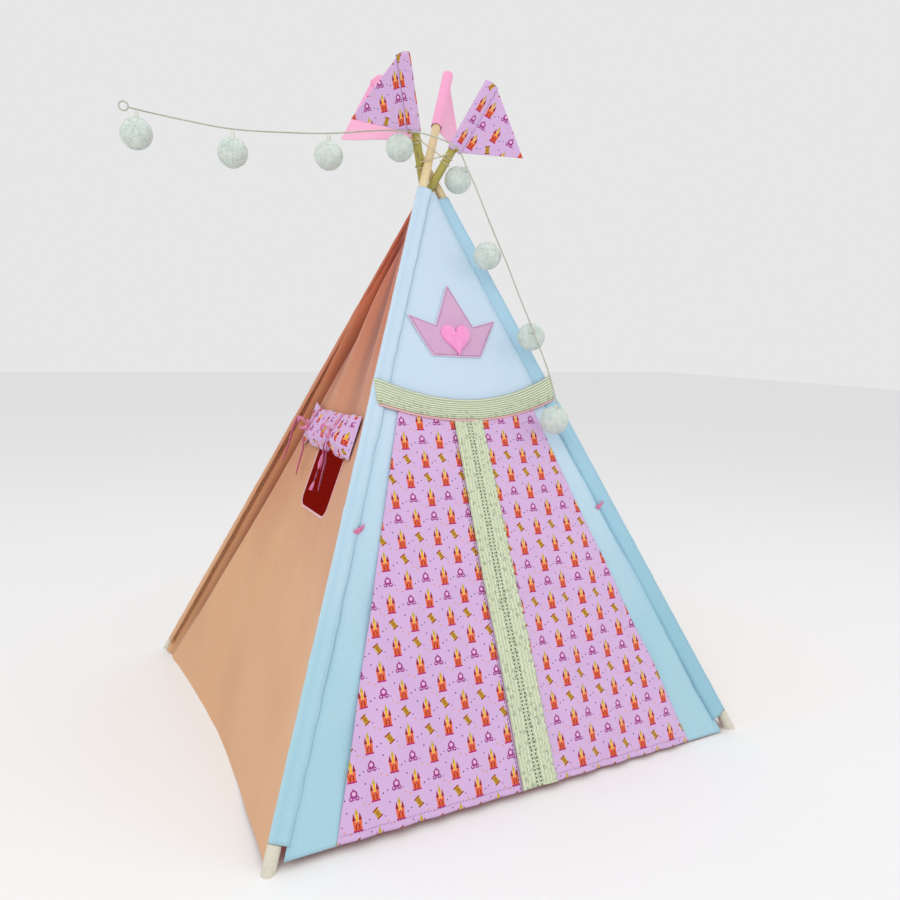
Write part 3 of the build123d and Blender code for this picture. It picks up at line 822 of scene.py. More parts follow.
@dataclass(frozen=True)
class WoundThread:
    """Cotton yarn wound over a ball and stiffened with glue: criss-cross threads, matt, and slightly see-through.

    Args:
        name: the finish's name.
        pale: the yarn's crests.
        dark: painted shade in the gaps between the yarns.
    """

    name: str
    pale: str = "#e2eae3"
    dark: str = "#ccd8d0"

    def make(self) -> bpy.types.Material:
        """Builds the material."""
        made = Recipe(self.name, 0.8, Sheen_Weight=0.3, Specular_IOR_Level=0.3, Subsurface_Weight=0.15,
                      Subsurface_Scale=0.01)
        place = made.add("TexCoord", out="Object")
        threads = None
        # Yarn is 1 mm thick; it is drawn at 2 mm so that it shows.
        for turn in ((0.3, 0.9, 0.2), (1.2, 0.1, 0.8), (0.7, -0.8, 1.9)):
            turned = made.add("Mapping", {"Vector": place, "Rotation": turn})
            wave = made.add("TexWave", {"Vector": turned, "Scale": 160.0, "Distortion": 6.0, "Detail": 2.0,
                                        "Detail Scale": 0.4}, "Fac")
            threads = wave if threads is None else made.add("Math", (threads, wave), operation="MAXIMUM")
        blotch = made.add("TexNoise", {"Vector": place, "Scale": 60.0, "Detail": 2.0})
        tone = made.add("Math", (threads, blotch), operation="MULTIPLY")
        tone = made.add("MapRange", {"Value": tone, "From Min": 0.15, "From Max": 0.6})
        # Painted shade: the gaps between the yarns take the dark colour.
        colour = made.add("Mix", {SHARE: tone, UNDER: linear(self.dark), OVER: linear(self.pale)}, MIXED, **MIX)
        made.drive("Base Color", colour)
        made.drive("Normal", made.add("Bump", {"Strength": 0.8, "Distance": 0.0008, "Height": threads}))
        return made.material


# ---------------------------------------------------------------- the finishes of this tent
# Canvas: dull and soft, with a weave that just shows and painted shade in its creases.
BLUE = Canvas("pale blue canvas", "#a9d2e0", "#c9def0", "#7fb2cc", (0.25, 0.75))
# The front right sleeve is the same canvas, its darker blue painted shade.
BLUE_SLEEVE_SHADED = Canvas("pale blue canvas, painted shade", "#93c4d6", "#a9d0e6", "#6d9fba", (0.25, 0.9))
PEACH_CANVAS = Canvas("peach canvas", "#d8a374", "#b95232", "#7a2a10", (0.30, 1.15))
# The walls' inner side is the same peach canvas in a deep red: painted shade, with a painted glow.
PEACH_INNER_SHADE = Canvas("peach canvas, inner side, painted shade and glow", "#b02418", "#8c1410", "#6a0a08", (0.2, 1.2), 0.28)
# Printed cotton: flat bright inks on a smooth, thin cloth.
PRINT = PrintedCotton("lilac printed cotton")
PINK_BACK = Canvas("pink cotton", "#fbc3de", "#f6a6cf", "#dd7fb0", (1.3, 1.5))
# Tape, felt and thread: matt and a little hairy; satin alone has a soft shine.
RIBBON_PINK = PlainStuff("pink cotton tape", "#f29cc6", "#c43a7c", 0.85, 0.0012, 0.0003, sheen=0.3)
FELT = PlainStuff("mauve felt", "#dcb2d2", "#c998c0", 0.95, 0.0016, 0.0004, sheen=0.5)
FELT_EDGE = PlainStuff("pale felt", "#efe3ef", "#d8c4dc", 0.95, 0.0016, 0.0004, sheen=0.5)
SATIN = PlainStuff("pink padded satin", "#fba6dc", "#f07cc4", 0.42, 0.010, 0.0004, sheen=0.3, gloss=0.25)
PURPLE_THREAD = PlainStuff("purple thread", "#8c5a98", "#5f3470", 0.8, 0.0010, 0.0002)
DARK_THREAD = PlainStuff("dark red thread", "#8a2a4c", "#5c1832", 0.8, 0.0010, 0.0002)
PALE_THREAD = PlainStuff("pale thread", "#d7e6ec", "#8eb4c6", 0.8, 0.0010, 0.0002)
BINDING = PlainStuff("rose cotton binding", "#f0c4c4", "#d89a9c", 0.85, 0.0015, 0.0003, sheen=0.2)
# Cord, flex, plastic and rubber: dry fibres, then a thin gloss, a clear gloss and none.
TWINE_CORD = PlainStuff("jute twine", "#e6dcbc", "#a49468", 0.9, 0.0012, 0.0006, sheen=0.3)
CLEAR_WIRE = PlainStuff("clear twisted flex", "#cdd1c0", "#8c927c", 0.35, 0.0030, 0.0006, gloss=0.3)
SOCKET_PLASTIC = PlainStuff("clear moulded polystyrene", "#e6e8dc", "#c2c8b4", 0.25, 0.004, 0.0001, gloss=0.5)
CAP_RUBBER = PlainStuff("moulded pale rubber", "#e4e0d2", "#c9c2ae", 0.7, 0.003, 0.0003)
YARN = WoundThread("wound cotton yarn")
# Both pole tones are one pale wood; the olive tones of the rear poles are painted shade.
CREAM_POLE = ("#f3e2ba", "#c9a66a")
OLIVE_POLE_SHADED = ("#c6bd62", "#86783a")


class Wardrobe:
    """Builds each finish once, when a piece first asks for it."""

    def __init__(self) -> None:
        """Starts empty."""
        self.made: dict[str, bpy.types.Material] = {}

    def of(self, finish: object) -> bpy.types.Material:
        """The material of a finish."""
        if finish.name not in self.made:
            self.made[finish.name] = finish.make()
        return self.made[finish.name]


STOCK = Wardrobe()


def crease_shade_map(sheet: bpy.types.Object, depth: Callable[[float, float], float], shares: list[tuple]) -> None:
    """Stores how deep in a fold each point of a sheet lies, for the painted shade in the folds of its finish."""
    attribute = sheet.data.attributes.new("crease_shade", "FLOAT", "POINT")
    attribute.data.foreach_set("value", [depth(u, v) for u, v in shares])


# ---------------------------------------------------------------- how the cover hangs
def pole_lift(face: TentFace, axis: PoleAxis, s: float) -> float:
    """Lift of a pole's axis above the plane of a face, at height s."""
    top, low = face.local(axis.at(0)), face.local(axis.at(-1))
    return mix(top.z, low.z, (s - top.y) / (low.y - top.y))


def skin(face: TentFace, x: float, s: float) -> float:
    """Lift at which cloth pulled straight over both poles of a face lies."""
    left, right = face.left(s), face.right(s)
    share = min(1.0, max(0.0, (x - left) / (right - left)))
    return mix(pole_lift(face, face.left_axis, s), pole_lift(face, face.right_axis, s), share) + 0.0122


def front_lift(x: float, s: float) -> float:
    """Lift of the front cover: nearly taut, with slack that grows towards the hem."""
    slack = 0.0008 + 0.0042 * ease(0.86 - s, 0.0, 0.5)
    return skin(FRONT, x, s) + slack * ripple(x * 6.0, s * 2.2, 3.1) + 0.0012 * ripple(x * 16, s * 7, 1.7)


def curtain_lift(x: float, s: float) -> float:
    """Lift of the door curtains: the front's own, and soft upright folds that open towards the hem."""
    fall = ease(0.80 - s, 0.0, 0.55)
    fold = math.sin(x * 74.0 + 1.4 * ripple(x * 3, s * 2.5, 9.0)) * 0.0026 + ripple(x * 22, s * 4.0, 5.5) * 0.0018
    return front_lift(x, s) + 0.0042 + fall * (fold + 0.0012)


def wall_sag(face: TentFace, x: float, s: float, share: float) -> float:
    """How far a wall hangs inwards: nothing at its poles, most in the middle and half way up."""
    left, right = face.left(s), face.right(s)
    half = (right - left) / 2
    across = (x - (left + right) / 2) / half
    return share * half * (1 - ((s - 0.65) / 1.0) ** 2) * max(0.0, 1 - across**2)


GROOVE = 0.058               # from the rear left pole to the groove beside its rolled sleeve


def left_groove(x: float, s: float) -> float:
    """0 to 1: how deep in the groove beside the rear sleeve a place on the left wall lies."""
    return bump(x - LEFT.left(s), GROOVE, 0.017) * ease(s, -0.3, 0.55)


def left_folds(x: float, s: float) -> float:
    """Folds that fan out from the crossing over the upper left wall, -1 to 1."""
    share = (x - LEFT.left(s)) / (LEFT.right(s) - LEFT.left(s))
    wave = math.sin(share * 17.0 + 2.2 * ripple(share * 2.5, s * 2.0, 4.4))
    return wave * ease(s, 0.62, 1.15)


def left_lift(x: float, s: float) -> float:
    """Lift of the left wall: sagging, with a groove by the rear sleeve, folds above and slack below."""
    slack = 0.006 * ripple(x * 2.6 + s * 1.8, s * 2.4 - x, 7.7) + 0.0022 * ripple(x * 9, s * 5, 2.0)
    folds = left_folds(x, s) * 0.0075 * min(1.0, (LEFT.right(s) - LEFT.left(s)) * 3.2)
    edge = min(1.0, max(0.0, (LEFT.right(s) - x) / 0.05))
    dip = 0.020 * left_groove(x, s)
    return skin(LEFT, x, s) - 0.001 - wall_sag(LEFT, x, s, WALL_SAG) - dip + (slack + folds) * ease(edge, 0, 1)


def plain_lift(face: TentFace, share: float, seed: float) -> Callable[[float, float], float]:
    """Lift of a plain wall that sags by a share, with its own slack."""
    def lift(x: float, s: float) -> float:
        inside = min(x - face.left(s), face.right(s) - x)
        slack = 0.006 * ripple(x * 3.0, s * 2.2, seed) + 0.002 * ripple(x * 9, s * 6, seed)
        return skin(face, x, s) - 0.001 - wall_sag(face, x, s, share) + slack * ease(inside, 0, 0.06)

    return lift


# ---------------------------------------------------------------- poles
@dataclass
class Poles:
    """The four wooden poles and their rubber foot caps, shown as they are in CAD.

    Args:
        axes: each pole's axis by its name.
        woods: each pole's two wood tones by its name; the olive tones of the rear poles are painted shade.
    """

    axes: dict[str, PoleAxis]
    woods: dict[str, tuple[str, str]]

    def dress(self) -> None:
        """Gives each pole and cap its finish."""
        for name, axis in self.axes.items():
            pale, dark = self.woods[name]
            wood = TurnedPole("varnished softwood, " + name.replace("_", " "), pale, dark, axis.direction)
            dress(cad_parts[name + "_pole"], "pole_wood", STOCK.of(wood))
            dress(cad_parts[name + "_foot_cap"], "foot_rubber", STOCK.of(CAP_RUBBER))


@dataclass
class PoleSleeve:
    """A pole's sleeve: the cover's cloth taken round the pole and stitched back onto the face.

    Args:
        name: the CAD node that it stands for.
        axis: the pole.
        face: the face that the seam lies on.
        side: +1 if the face lies on the side of rising x, else -1.
        seam: distance from the pole's axis to the seam, at the foot and at the top.
        puff: how far the cloth between pole and seam swells.
        body: the CAD body that it moves with.
        finish: its canvas.
        slot: its material slot.
    """

    name: str
    axis: PoleAxis
    face: TentFace
    side: int
    seam: tuple[float, float]
    puff: float
    body: str
    finish: Canvas
    slot: str
    start: float = 0.046
    radius: float = 0.0122

    def spot(self, u: float, v: float) -> Vector:
        """The point a share round, from the outer end of the seam back to its inner end, and a share up."""
        low = (self.axis.at_height(0) - self.axis.origin).dot(self.axis.direction) + self.start
        top = (FABRIC_TOP - FACE_HEIGHT) / math.cos(math.atan(HALF_BASE / FACE_HEIGHT))
        t = mix(low, top, v)
        seam = mix(*self.seam, v) + 0.0018 * ripple(v * 40, 0.0, 6.6)
        inward = self.face.x_dir * self.side
        inward = (inward - self.axis.direction * inward.dot(self.axis.direction)).normalized()
        out = inward.cross(self.axis.direction) * self.side
        out = out if out.dot(self.face.normal) > 0 else -out
        if u < 0.36:
            share = u / 0.36
            across, lift = mix(seam, 0, share), self.radius + self.puff * math.sin(share * math.pi) ** 0.8
        elif u < 0.74:
            turn = (u - 0.36) / 0.38 * math.pi
            across, lift = -self.radius * math.sin(turn), self.radius * math.cos(turn)
        else:
            share = (u - 0.74) / 0.26
            across, lift = mix(0, seam, share), mix(-self.radius, self.radius - 0.003, share**0.8)
        rumple = 0.0011 * ripple(u * 5, v * 34, self.axis.origin.x * 90) + 0.0009 * ripple(u * 11, v * 70, 2.0)
        grow = 1.0 + max(0.0, rumple) / self.radius
        tucked = 0.0008 if u < 0.30 else 0.0
        return self.axis.at(t) + inward * (across * (grow if across < 0 else 1)) + out * (lift * grow + tucked)

    def build(self) -> bpy.types.Object:
        """Makes and dresses the sleeve."""
        tube = cut_cloth(self.name + "_cloth", 34, 150, self.spot, lambda u, v: (u * 0.13, v * 1.35))
        shares = [((i % 35) / 34, (i // 35) / 150) for i in range(35 * 151)]
        # Painted shade beside the seam and where the cloth starts round the pole.
        crease_shade_map(tube, lambda u, v: 0.55 * bump(u, 0.015, 0.03) + 0.18 * bump(u, 0.40, 0.06), shares)
        middle = tube.data.polygons[len(tube.data.polygons) // 2 + 17]
        away = middle.center - self.axis.at((middle.center - self.axis.origin).dot(self.axis.direction))
        if middle.normal.dot(away) < 0:
            in_edit(tube, bpy.ops.mesh.flip_normals)
        thicken(tube, CANVAS_THICK)
        soften(tube)
        dress(tube, self.slot, STOCK.of(self.finish))
        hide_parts(self.name)
        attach(tube, self.body)
        return tube


# ---------------------------------------------------------------- front cover
LEFT_BORDER = ((-0.189, 0.822), (-0.448, 0.000))
RIGHT_BORDER = ((0.158, 0.822), (0.225, 0.603), (0.416, 0.000))
SLIT = ((-0.063, 0.822), (-0.050, 0.006))
LEFT_FOLD = ((-0.074, 0.776), (-0.255, 0.006))
RIGHT_FOLD = ((-0.052, 0.776), (0.190, 0.006))
SLEEVE_SEAMS = {"left": (0.024, 0.018), "right": (0.044, 0.042)}


@dataclass
class FlatPiece:
    """A flat-cut piece of a face, between two edges and two heights.

    Args:
        name: the piece's name.
        face: the face that it lies on.
        edges: x of its left and its right edge at a height.
        heights: lower and upper edge.
        lift: its lift at a place.
        cells: across and up.
        crease_shade: how deep the painted shade of its creases is at a place.
    """

    name: str
    face: TentFace
    edges: tuple[Callable[[float], float], Callable[[float], float]]
    heights: tuple[float, float]
    lift: Callable[[float, float], float]
    cells: tuple[int, int] = (60, 90)
    crease_shade: Callable[[float, float], float] | None = None

    def at(self, u: float, v: float) -> tuple[float, float]:
        """(x, s) for a share across and up."""
        s = mix(*self.heights, v)
        return mix(self.edges[0](s), self.edges[1](s), u), s

    def area(self) -> tuple[float, float, float]:
        """Greatest width, height up the face and flat area."""
        widths = [self.edges[1](s) - self.edges[0](s) for s in (mix(*self.heights, n / 20) for n in range(21))]
        height = self.heights[1] - self.heights[0]
        return max(widths), height, sum(widths) / 21 * height

    def build(self, thickness: float = CANVAS_THICK, lining: bool = False) -> bpy.types.Object:
        """Makes the piece.

        Args:
            thickness: of the cloth.
            lining: its inner side takes the second material.
        Returns:
            The piece, smooth and with its thickness.
        """
        columns, rows = self.cells

        def spot(u: float, v: float) -> Vector:
            x, s = self.at(u, v)
            return self.face.place(x, s, self.lift(x, s))

        sheet = cut_cloth(self.name, columns, rows, spot, self.at)
        if self.crease_shade:
            shares = [self.at((i % (columns + 1)) / columns, (i // (columns + 1)) / rows)
                      for i in range((columns + 1) * (rows + 1))]
            crease_shade_map(sheet, self.crease_shade, shares)
        thicken(sheet, thickness, lining)
        soften(sheet)
        return sheet

    def declare(self, sheet: bpy.types.Object, held: str, rests_on: Sequence[str]) -> None:
        width, height, area = self.area()


@dataclass
class FrontCover:
    """The blue part of the front: the upper panel and the two strips beside the door."""

    def build(self) -> None:
        """Makes and dresses the three pieces, and the stitching beside each sleeve."""
        def left_edge(s: float) -> float:
            return FRONT.left(s) + mix(*SLEEVE_SEAMS["left"], s / FABRIC_TOP) - 0.004

        def right_edge(s: float) -> float:
            return FRONT.right(s) - mix(*SLEEVE_SEAMS["right"], s / FABRIC_TOP) + 0.004

        # Painted shade: darker beside the sleeves, and in soft random patches.
        def crease_shade(x: float, s: float) -> float:
            near = min(x - left_edge(s), right_edge(s) - x)
            return 0.30 * max(0.0, 1 - near / 0.02) + 0.14 * max(0.0, ripple(x * 7, s * 3, 8.0))

        cuts = (
            ("upper_front_panel", (left_edge, right_edge), (0.812, FABRIC_TOP - 0.004), (70, 90)),
            ("left_front_border", (left_edge, lambda s: along(LEFT_BORDER, s) + 0.012), (HEM, 0.824), (30, 110)),
            ("right_front_border", (lambda s: along(RIGHT_BORDER, s) - 0.012, right_edge), (HEM, 0.824), (36, 110)),
        )
        for name, edges, heights, cells in cuts:
            cut = FlatPiece(name + "_cloth", FRONT, edges, heights, front_lift, cells, crease_shade)
            sheet = cut.build()
            dress(sheet, "canvas_blue", STOCK.of(BLUE))
            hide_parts(name)
            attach(sheet, "front_frame")
            cut.declare(sheet, "stretched", ["front_left_pole", "front_right_pole"])
        self.stitch(left_edge, 0.0035)
        self.stitch(right_edge, -0.0035)

    def stitch(self, edge: Callable[[float], float], inset: float) -> None:
        """A row of machine stitches along the seam of a sleeve."""
        heights = [mix(HEM + 0.02, FABRIC_TOP - 0.01, n / 90) for n in range(91)]
        route = [FRONT.place(edge(s) - inset * 0.2, s, skin(FRONT, edge(s), s) + 0.0026) for s in heights]
        row = stitches("sleeve_stitching_" + ("left" if inset > 0 else "right"), route, 0.0038, 0.0022, 0.0009)
        dress(row, "canvas_blue", STOCK.of(PALE_THREAD))
        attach(row, "front_frame")


@dataclass
class DoorCurtain:
    """One half of the printed door: sewn along its border, and free along the slit.

    Args:
        side: -1 for the left half, +1 for the right.
    """

    side: int

    def build(self) -> None:
        """Makes the curtain as one cloth, with its stitching."""
        name = "left" if self.side < 0 else "right"
        border, fold = (LEFT_BORDER, LEFT_FOLD) if self.side < 0 else (RIGHT_BORDER, RIGHT_FOLD)
        edges = ((lambda s: along(border, s), lambda s: along(SLIT, s) - 0.0006) if self.side < 0
                 else (lambda s: along(SLIT, s) + 0.0006, lambda s: along(border, s)))
        cut = FlatPiece(name + "_door_cloth", FRONT, edges, (HEM + 0.001, 0.826), curtain_lift, (80, 170))
        cloth = cut.build(COTTON_THICK)
        dress(cloth, "print_cotton", STOCK.of(PRINT))
        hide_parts(name + "_curtain", name + "_door_flap")
        self.bend(cloth, fold, name)
        cut.declare(cloth, "hung", ["lace_band_cloth"])
        if self.side < 0:
            self.edge_stitches()
        self.hem_stitches(edges, name, fold)

    def bend(self, piece: bpy.types.Object, fold: Sequence[tuple[float, float]], name: str) -> None:
        """Puts a piece's place into its mesh; the two sides of a band along the fold line are worked out but not used,
        and nothing bends.
        """
        (top_x, top_s), (low_x, low_s) = fold
        middle = ((top_x + low_x) / 2, (top_s + low_s) / 2)
        run = Vector((low_x - top_x, low_s - top_s, 0)).normalized()
        off = Vector((-run.y, run.x, 0)) * (0.028 if -run.y * -self.side > 0 else -0.028)
        start, end = (FRONT.place(middle[0] + sign * off.x, middle[1] + sign * off.y) for sign in (-1, 1))
        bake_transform(piece)
        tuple(start)
        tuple(end)

    def edge_stitches(self) -> None:
        """The dark stitching down the left half's free edge."""
        heights = [mix(HEM + 0.004, 0.772, n / 80) for n in range(81)]
        route = [FRONT.place(along(SLIT, s) - 0.005, s, curtain_lift(along(SLIT, s) - 0.005, s) + 0.0006)
                 for s in heights]
        row = stitches("left_edge_stitching", route, 0.0050, 0.0034, 0.0014)
        dress(row, "print_cotton", STOCK.of(DARK_THREAD))
        self.bend(row, LEFT_FOLD, "left")

    def hem_stitches(self, edges: tuple, name: str, fold: Sequence[tuple[float, float]]) -> None:
        """Stitching along the hem."""
        s = HEM + 0.014
        places = [mix(edges[0](s) + 0.004, edges[1](s) - 0.004, n / 60) for n in range(61)]
        route = [FRONT.place(x, s, curtain_lift(x, s) + 0.0006) for x in places]
        row = stitches(name + "_hem_stitching", route, 0.0040, 0.0025, 0.0008)
        dress(row, "print_cotton", STOCK.of(PURPLE_THREAD))
        self.bend(row, fold, name)


# ---------------------------------------------------------------- lace
def through(points: Sequence[tuple[float, float]], x: float) -> float:
    """Height at x on the parabola through three (x, s) places."""
    total = 0.0
    for i, (xi, si) in enumerate(points):
        share = 1.0
        for j, (xj, _) in enumerate(points):
            if j != i:
                share *= (x - xj) / (xi - xj)
        total += si * share
    return total


@dataclass
class LaceTrim:
    """The lace band across the face and the lace strip down the right half's free edge."""

    band_top: tuple = ((-0.208, 0.860), (-0.036, 0.825), (0.205, 0.876))
    band_low: tuple = ((-0.223, 0.813), (-0.057, 0.782), (0.227, 0.830))
    strip_top: tuple[float, float] = (-0.061, 0.010)
    strip_foot: tuple[float, float] = (-0.049, 0.031)

    def band_edges(self) -> tuple[float, float]:
        """x of the band's two ends, at the outer sides of the sleeves."""
        return FRONT.left(0.84) - 0.006, FRONT.right(0.85) + 0.004

    def band_lift(self, x: float, s: float, rise: float = 0.0) -> float:
        """Lift of the band: over the curtains and sleeves, and down over the poles at its ends."""
        left, right = self.band_edges()
        drop = 0.006 * (max(0.0, 1 - (x - left) / 0.012) ** 2 + max(0.0, 1 - (right - x) / 0.012) ** 2)
        return skin(FRONT, x, s) + 0.0078 - drop + rise + 0.0008 * ripple(x * 18, s * 9, 1.2)

    def build_band(self) -> None:
        """Makes the band, its rose binding and its two rows of stitches."""
        left, right = self.band_edges()

        def at(u: float, v: float) -> tuple[float, float]:
            x = mix(left, right, u)
            low, top = through(self.band_low, x), through(self.band_top, x)
            scallop = 0.0022 * abs(math.sin(math.pi * x / 0.0085)) * ease(v, 0.9, 1.0)
            return x, mix(low, top, v) + scallop

        def spot(u: float, v: float) -> Vector:
            x, s = at(u, v)
            return FRONT.place(x, s, self.band_lift(x, s))

        band = cut_cloth("lace_band_cloth", 330, 18, spot, lambda u, v: (mix(left, right, u), v * 0.047))
        thicken(band, COTTON_THICK)
        soften(band)
        dress(band, "cotton_lace", STOCK.of(CottonLace("cotton lace band", LaceKind.BAND)))
        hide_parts("lace_band")
        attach(band, "front_frame")

        def edging(u: float, v: float) -> Vector:
            x = mix(left + 0.002, right - 0.002, u)
            s = through(self.band_low, x) + mix(-0.0045, 0.003, v)
            return FRONT.place(x, s, self.band_lift(x, s, -0.0004 if v > 0.5 else -0.0012))

        binding = cut_cloth("lace_band_binding", 120, 3, edging, lambda u, v: (u * 0.45, v * 0.008))
        thicken(binding, COTTON_THICK)
        soften(binding)
        dress(binding, "cotton_lace", STOCK.of(BINDING))
        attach(binding, "front_frame")
        for name, line, up, finish in (("lower", self.band_low, 0.0010, DARK_THREAD),
                                       ("upper", self.band_top, -0.0030, PALE_THREAD)):
            places = [mix(left + 0.004, right - 0.004, n / 100) for n in range(101)]
            route = [FRONT.place(x, through(line, x) + up, self.band_lift(x, through(line, x), 0.0005))
                     for x in places]
            row = stitches("lace_band_stitching_" + name, route, 0.0034, 0.0026, 0.0010)
            dress(row, "cotton_lace", STOCK.of(finish))
            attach(row, "front_frame")

    def build_strip(self) -> None:
        """Makes the strip with its scalloped outer edge."""
        low, top = HEM + 0.001, 0.790

        def at(u: float, v: float) -> tuple[float, float]:
            s = mix(low, top, v)
            share = (s - low) / (top - low)
            left = mix(self.strip_foot[0], self.strip_top[0], share)
            right = mix(self.strip_foot[1], self.strip_top[1], share)
            right += 0.0035 * abs(math.sin(math.pi * s / 0.014)) + 0.001 * ripple(s * 60, 0, 4)
            return mix(left, right, u), s

        def spot(u: float, v: float) -> Vector:
            x, s = at(u, v)
            curl = 0.0016 * math.sin(s * 90 + 2 * ripple(s * 9, 0, 3)) * ease(u, 0.7, 1.0)
            return FRONT.place(x, s, curtain_lift(x, s) + 0.0022 + curl * 0.5 + 0.0005)

        strip = cut_cloth("lace_strip_cloth", 24, 420, spot, lambda u, v: ((u - 0.5) * 0.078, v * 0.78))
        thicken(strip, COTTON_THICK)
        soften(strip)
        dress(strip, "cotton_lace", STOCK.of(CottonLace("cotton lace strip", LaceKind.STRIP)))
        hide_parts("lace_door_strip", "lace_door_top")
        DoorCurtain(1).bend(strip, RIGHT_FOLD, "right")


# ---------------------------------------------------------------- crown and heart
@dataclass
class Crown:
    """The felt crown sewn on the upper panel: a pale backing, the felt and a row of purple stitches."""

    outline: tuple = ((-0.086, 0.930), (0.041, 0.930), (0.101, 1.023), (0.035, 1.003), (-0.017, 1.102),
                      (-0.066, 1.001), (-0.136, 1.022))
    def ring(self, grow: float, each: int = 10) -> list[tuple[float, float]]:
        """The outline as close (x, s) places, moved outwards by a distance."""
        corners, count = [], len(self.outline)
        for i, (x, s) in enumerate(self.outline):
            before, after = Vector(self.outline[i - 1]), Vector(self.outline[(i + 1) % count])
            here = Vector((x, s))
            into, out_of = (here - before).normalized(), (after - here).normalized()
            one, two = Vector((into.y, -into.x)), Vector((out_of.y, -out_of.x))
            corners.append(here + (one + two) * (grow / (1 + one.dot(two))))
        return [tuple(a.lerp(b, n / each)) for a, b in zip(corners, corners[1:] + corners[:1]) for n in range(each)]

    def patch(self, name: str, grow: float, lift: float, thickness: float) -> bpy.types.Object:
        """A flat patch in the outline, with its upper edge rounded."""
        places = [FRONT.place(x, s, skin(FRONT, x, s) + lift) for x, s in self.ring(grow)]
        return plate(name, places, FRONT.normal, thickness, thickness * 0.3)

    def build(self) -> None:
        """Makes the three layers."""
        backing = self.patch("crown_backing", 0.0016, 0.0030, 0.0008)
        dress(backing, "mauve_cotton", STOCK.of(FELT_EDGE))
        felt = self.patch("crown_felt", 0.0, 0.0042, 0.0012)
        dress(felt, "mauve_cotton", STOCK.of(FELT))
        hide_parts("crown_applique")
        places = self.ring(-0.0022, 12)
        places.append(places[0])
        route = [FRONT.place(x, s, skin(FRONT, x, s) + 0.0046) for x, s in places]
        row = stitches("crown_stitching", route, 0.0040, 0.0016, 0.0011)
        dress(row, "mauve_cotton", STOCK.of(PURPLE_THREAD))
        for piece in (backing, felt, row):
            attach(piece, "front_frame")


@dataclass
class Heart:
    """The stuffed satin heart on the crown, blown up by a cloth simulation.

    Args:
        middle: (x, s) of its middle.
        size: width and height.
        depth: of its flat cut before it is filled.
    """

    middle: tuple[float, float] = (-0.019, 0.966)
    size: tuple[float, float] = (0.088, 0.078)
    depth: float = 0.007

    def build(self) -> None:
        """Makes, fills and dresses the heart."""
        count = 72
        deselect()
        bpy.ops.mesh.primitive_circle_add(vertices=count, radius=0.03, fill_type="NGON")
        heart = bpy.context.object
        heart.name = "heart_cushion"
        for i, vertex in enumerate(heart.data.vertices):
            t = -2 * math.pi * i / count
            x = 16 * math.sin(t) ** 3 / 34
            s = (13 * math.cos(t) - 5 * math.cos(2 * t) - 2 * math.cos(3 * t) - math.cos(4 * t) + 2.5) / 29
            vertex.co = (x * self.size[0], s * self.size[1], 0)
        heart.data.update()
        if heart.data.polygons[0].normal.z < 0:
            in_edit(heart, bpy.ops.mesh.flip_normals)
        apply_modifier(heart, "SOLIDIFY", thickness=self.depth, offset=1.0)
        apply_modifier(heart, "REMESH", mode="VOXEL", voxel_size=0.0026)
        self.fill(heart)
        apply_modifier(heart, "SMOOTH", factor=0.5, iterations=6)
        apply_modifier(heart, "SUBSURF", levels=1, render_levels=1)
        x, s = self.middle
        turn = Matrix((FRONT.x_dir, FRONT.s_dir, FRONT.normal)).transposed().to_4x4()
        lift = skin(FRONT, x, s) + 0.0046
        for vertex in heart.data.vertices:
            vertex.co.z = max(vertex.co.z, 0.0)
        heart.data.transform(Matrix.Translation(FRONT.place(x, s, lift)) @ turn)
        soften(heart)
        dress(heart, "pink_satin", STOCK.of(SATIN))
        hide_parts("heart_applique")
        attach(heart, "front_frame")

    def fill(self, heart: bpy.types.Object) -> None:
        """Blows the heart up with a pressure, and keeps each point within a few millimetres of its cut."""
        before = [vertex.co.copy() for vertex in heart.data.vertices]
        select_only(heart)
        cloth = heart.modifiers.new("Filling", "CLOTH")
        cloth.settings.use_pressure = True
        cloth.settings.uniform_pressure_force = 5.0
        cloth.settings.effector_weights.gravity = 0.0
        scene = bpy.context.scene
        for step in range(1, 21):
            scene.frame_set(step)
        bpy.ops.object.modifier_apply(modifier=cloth.name)
        scene.frame_set(1)
        for vertex, start in zip(heart.data.vertices, before):
            moved = vertex.co - start
            if moved.length > 0.006:
                vertex.co = start + moved.normalized() * 0.006


# ---------------------------------------------------------------- walls
def fold_with_walls(piece: bpy.types.Object) -> None:
    """Attaches a side piece to the side walls' body, with a mesh of its own."""
    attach(piece, "side_walls")
    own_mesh(piece)


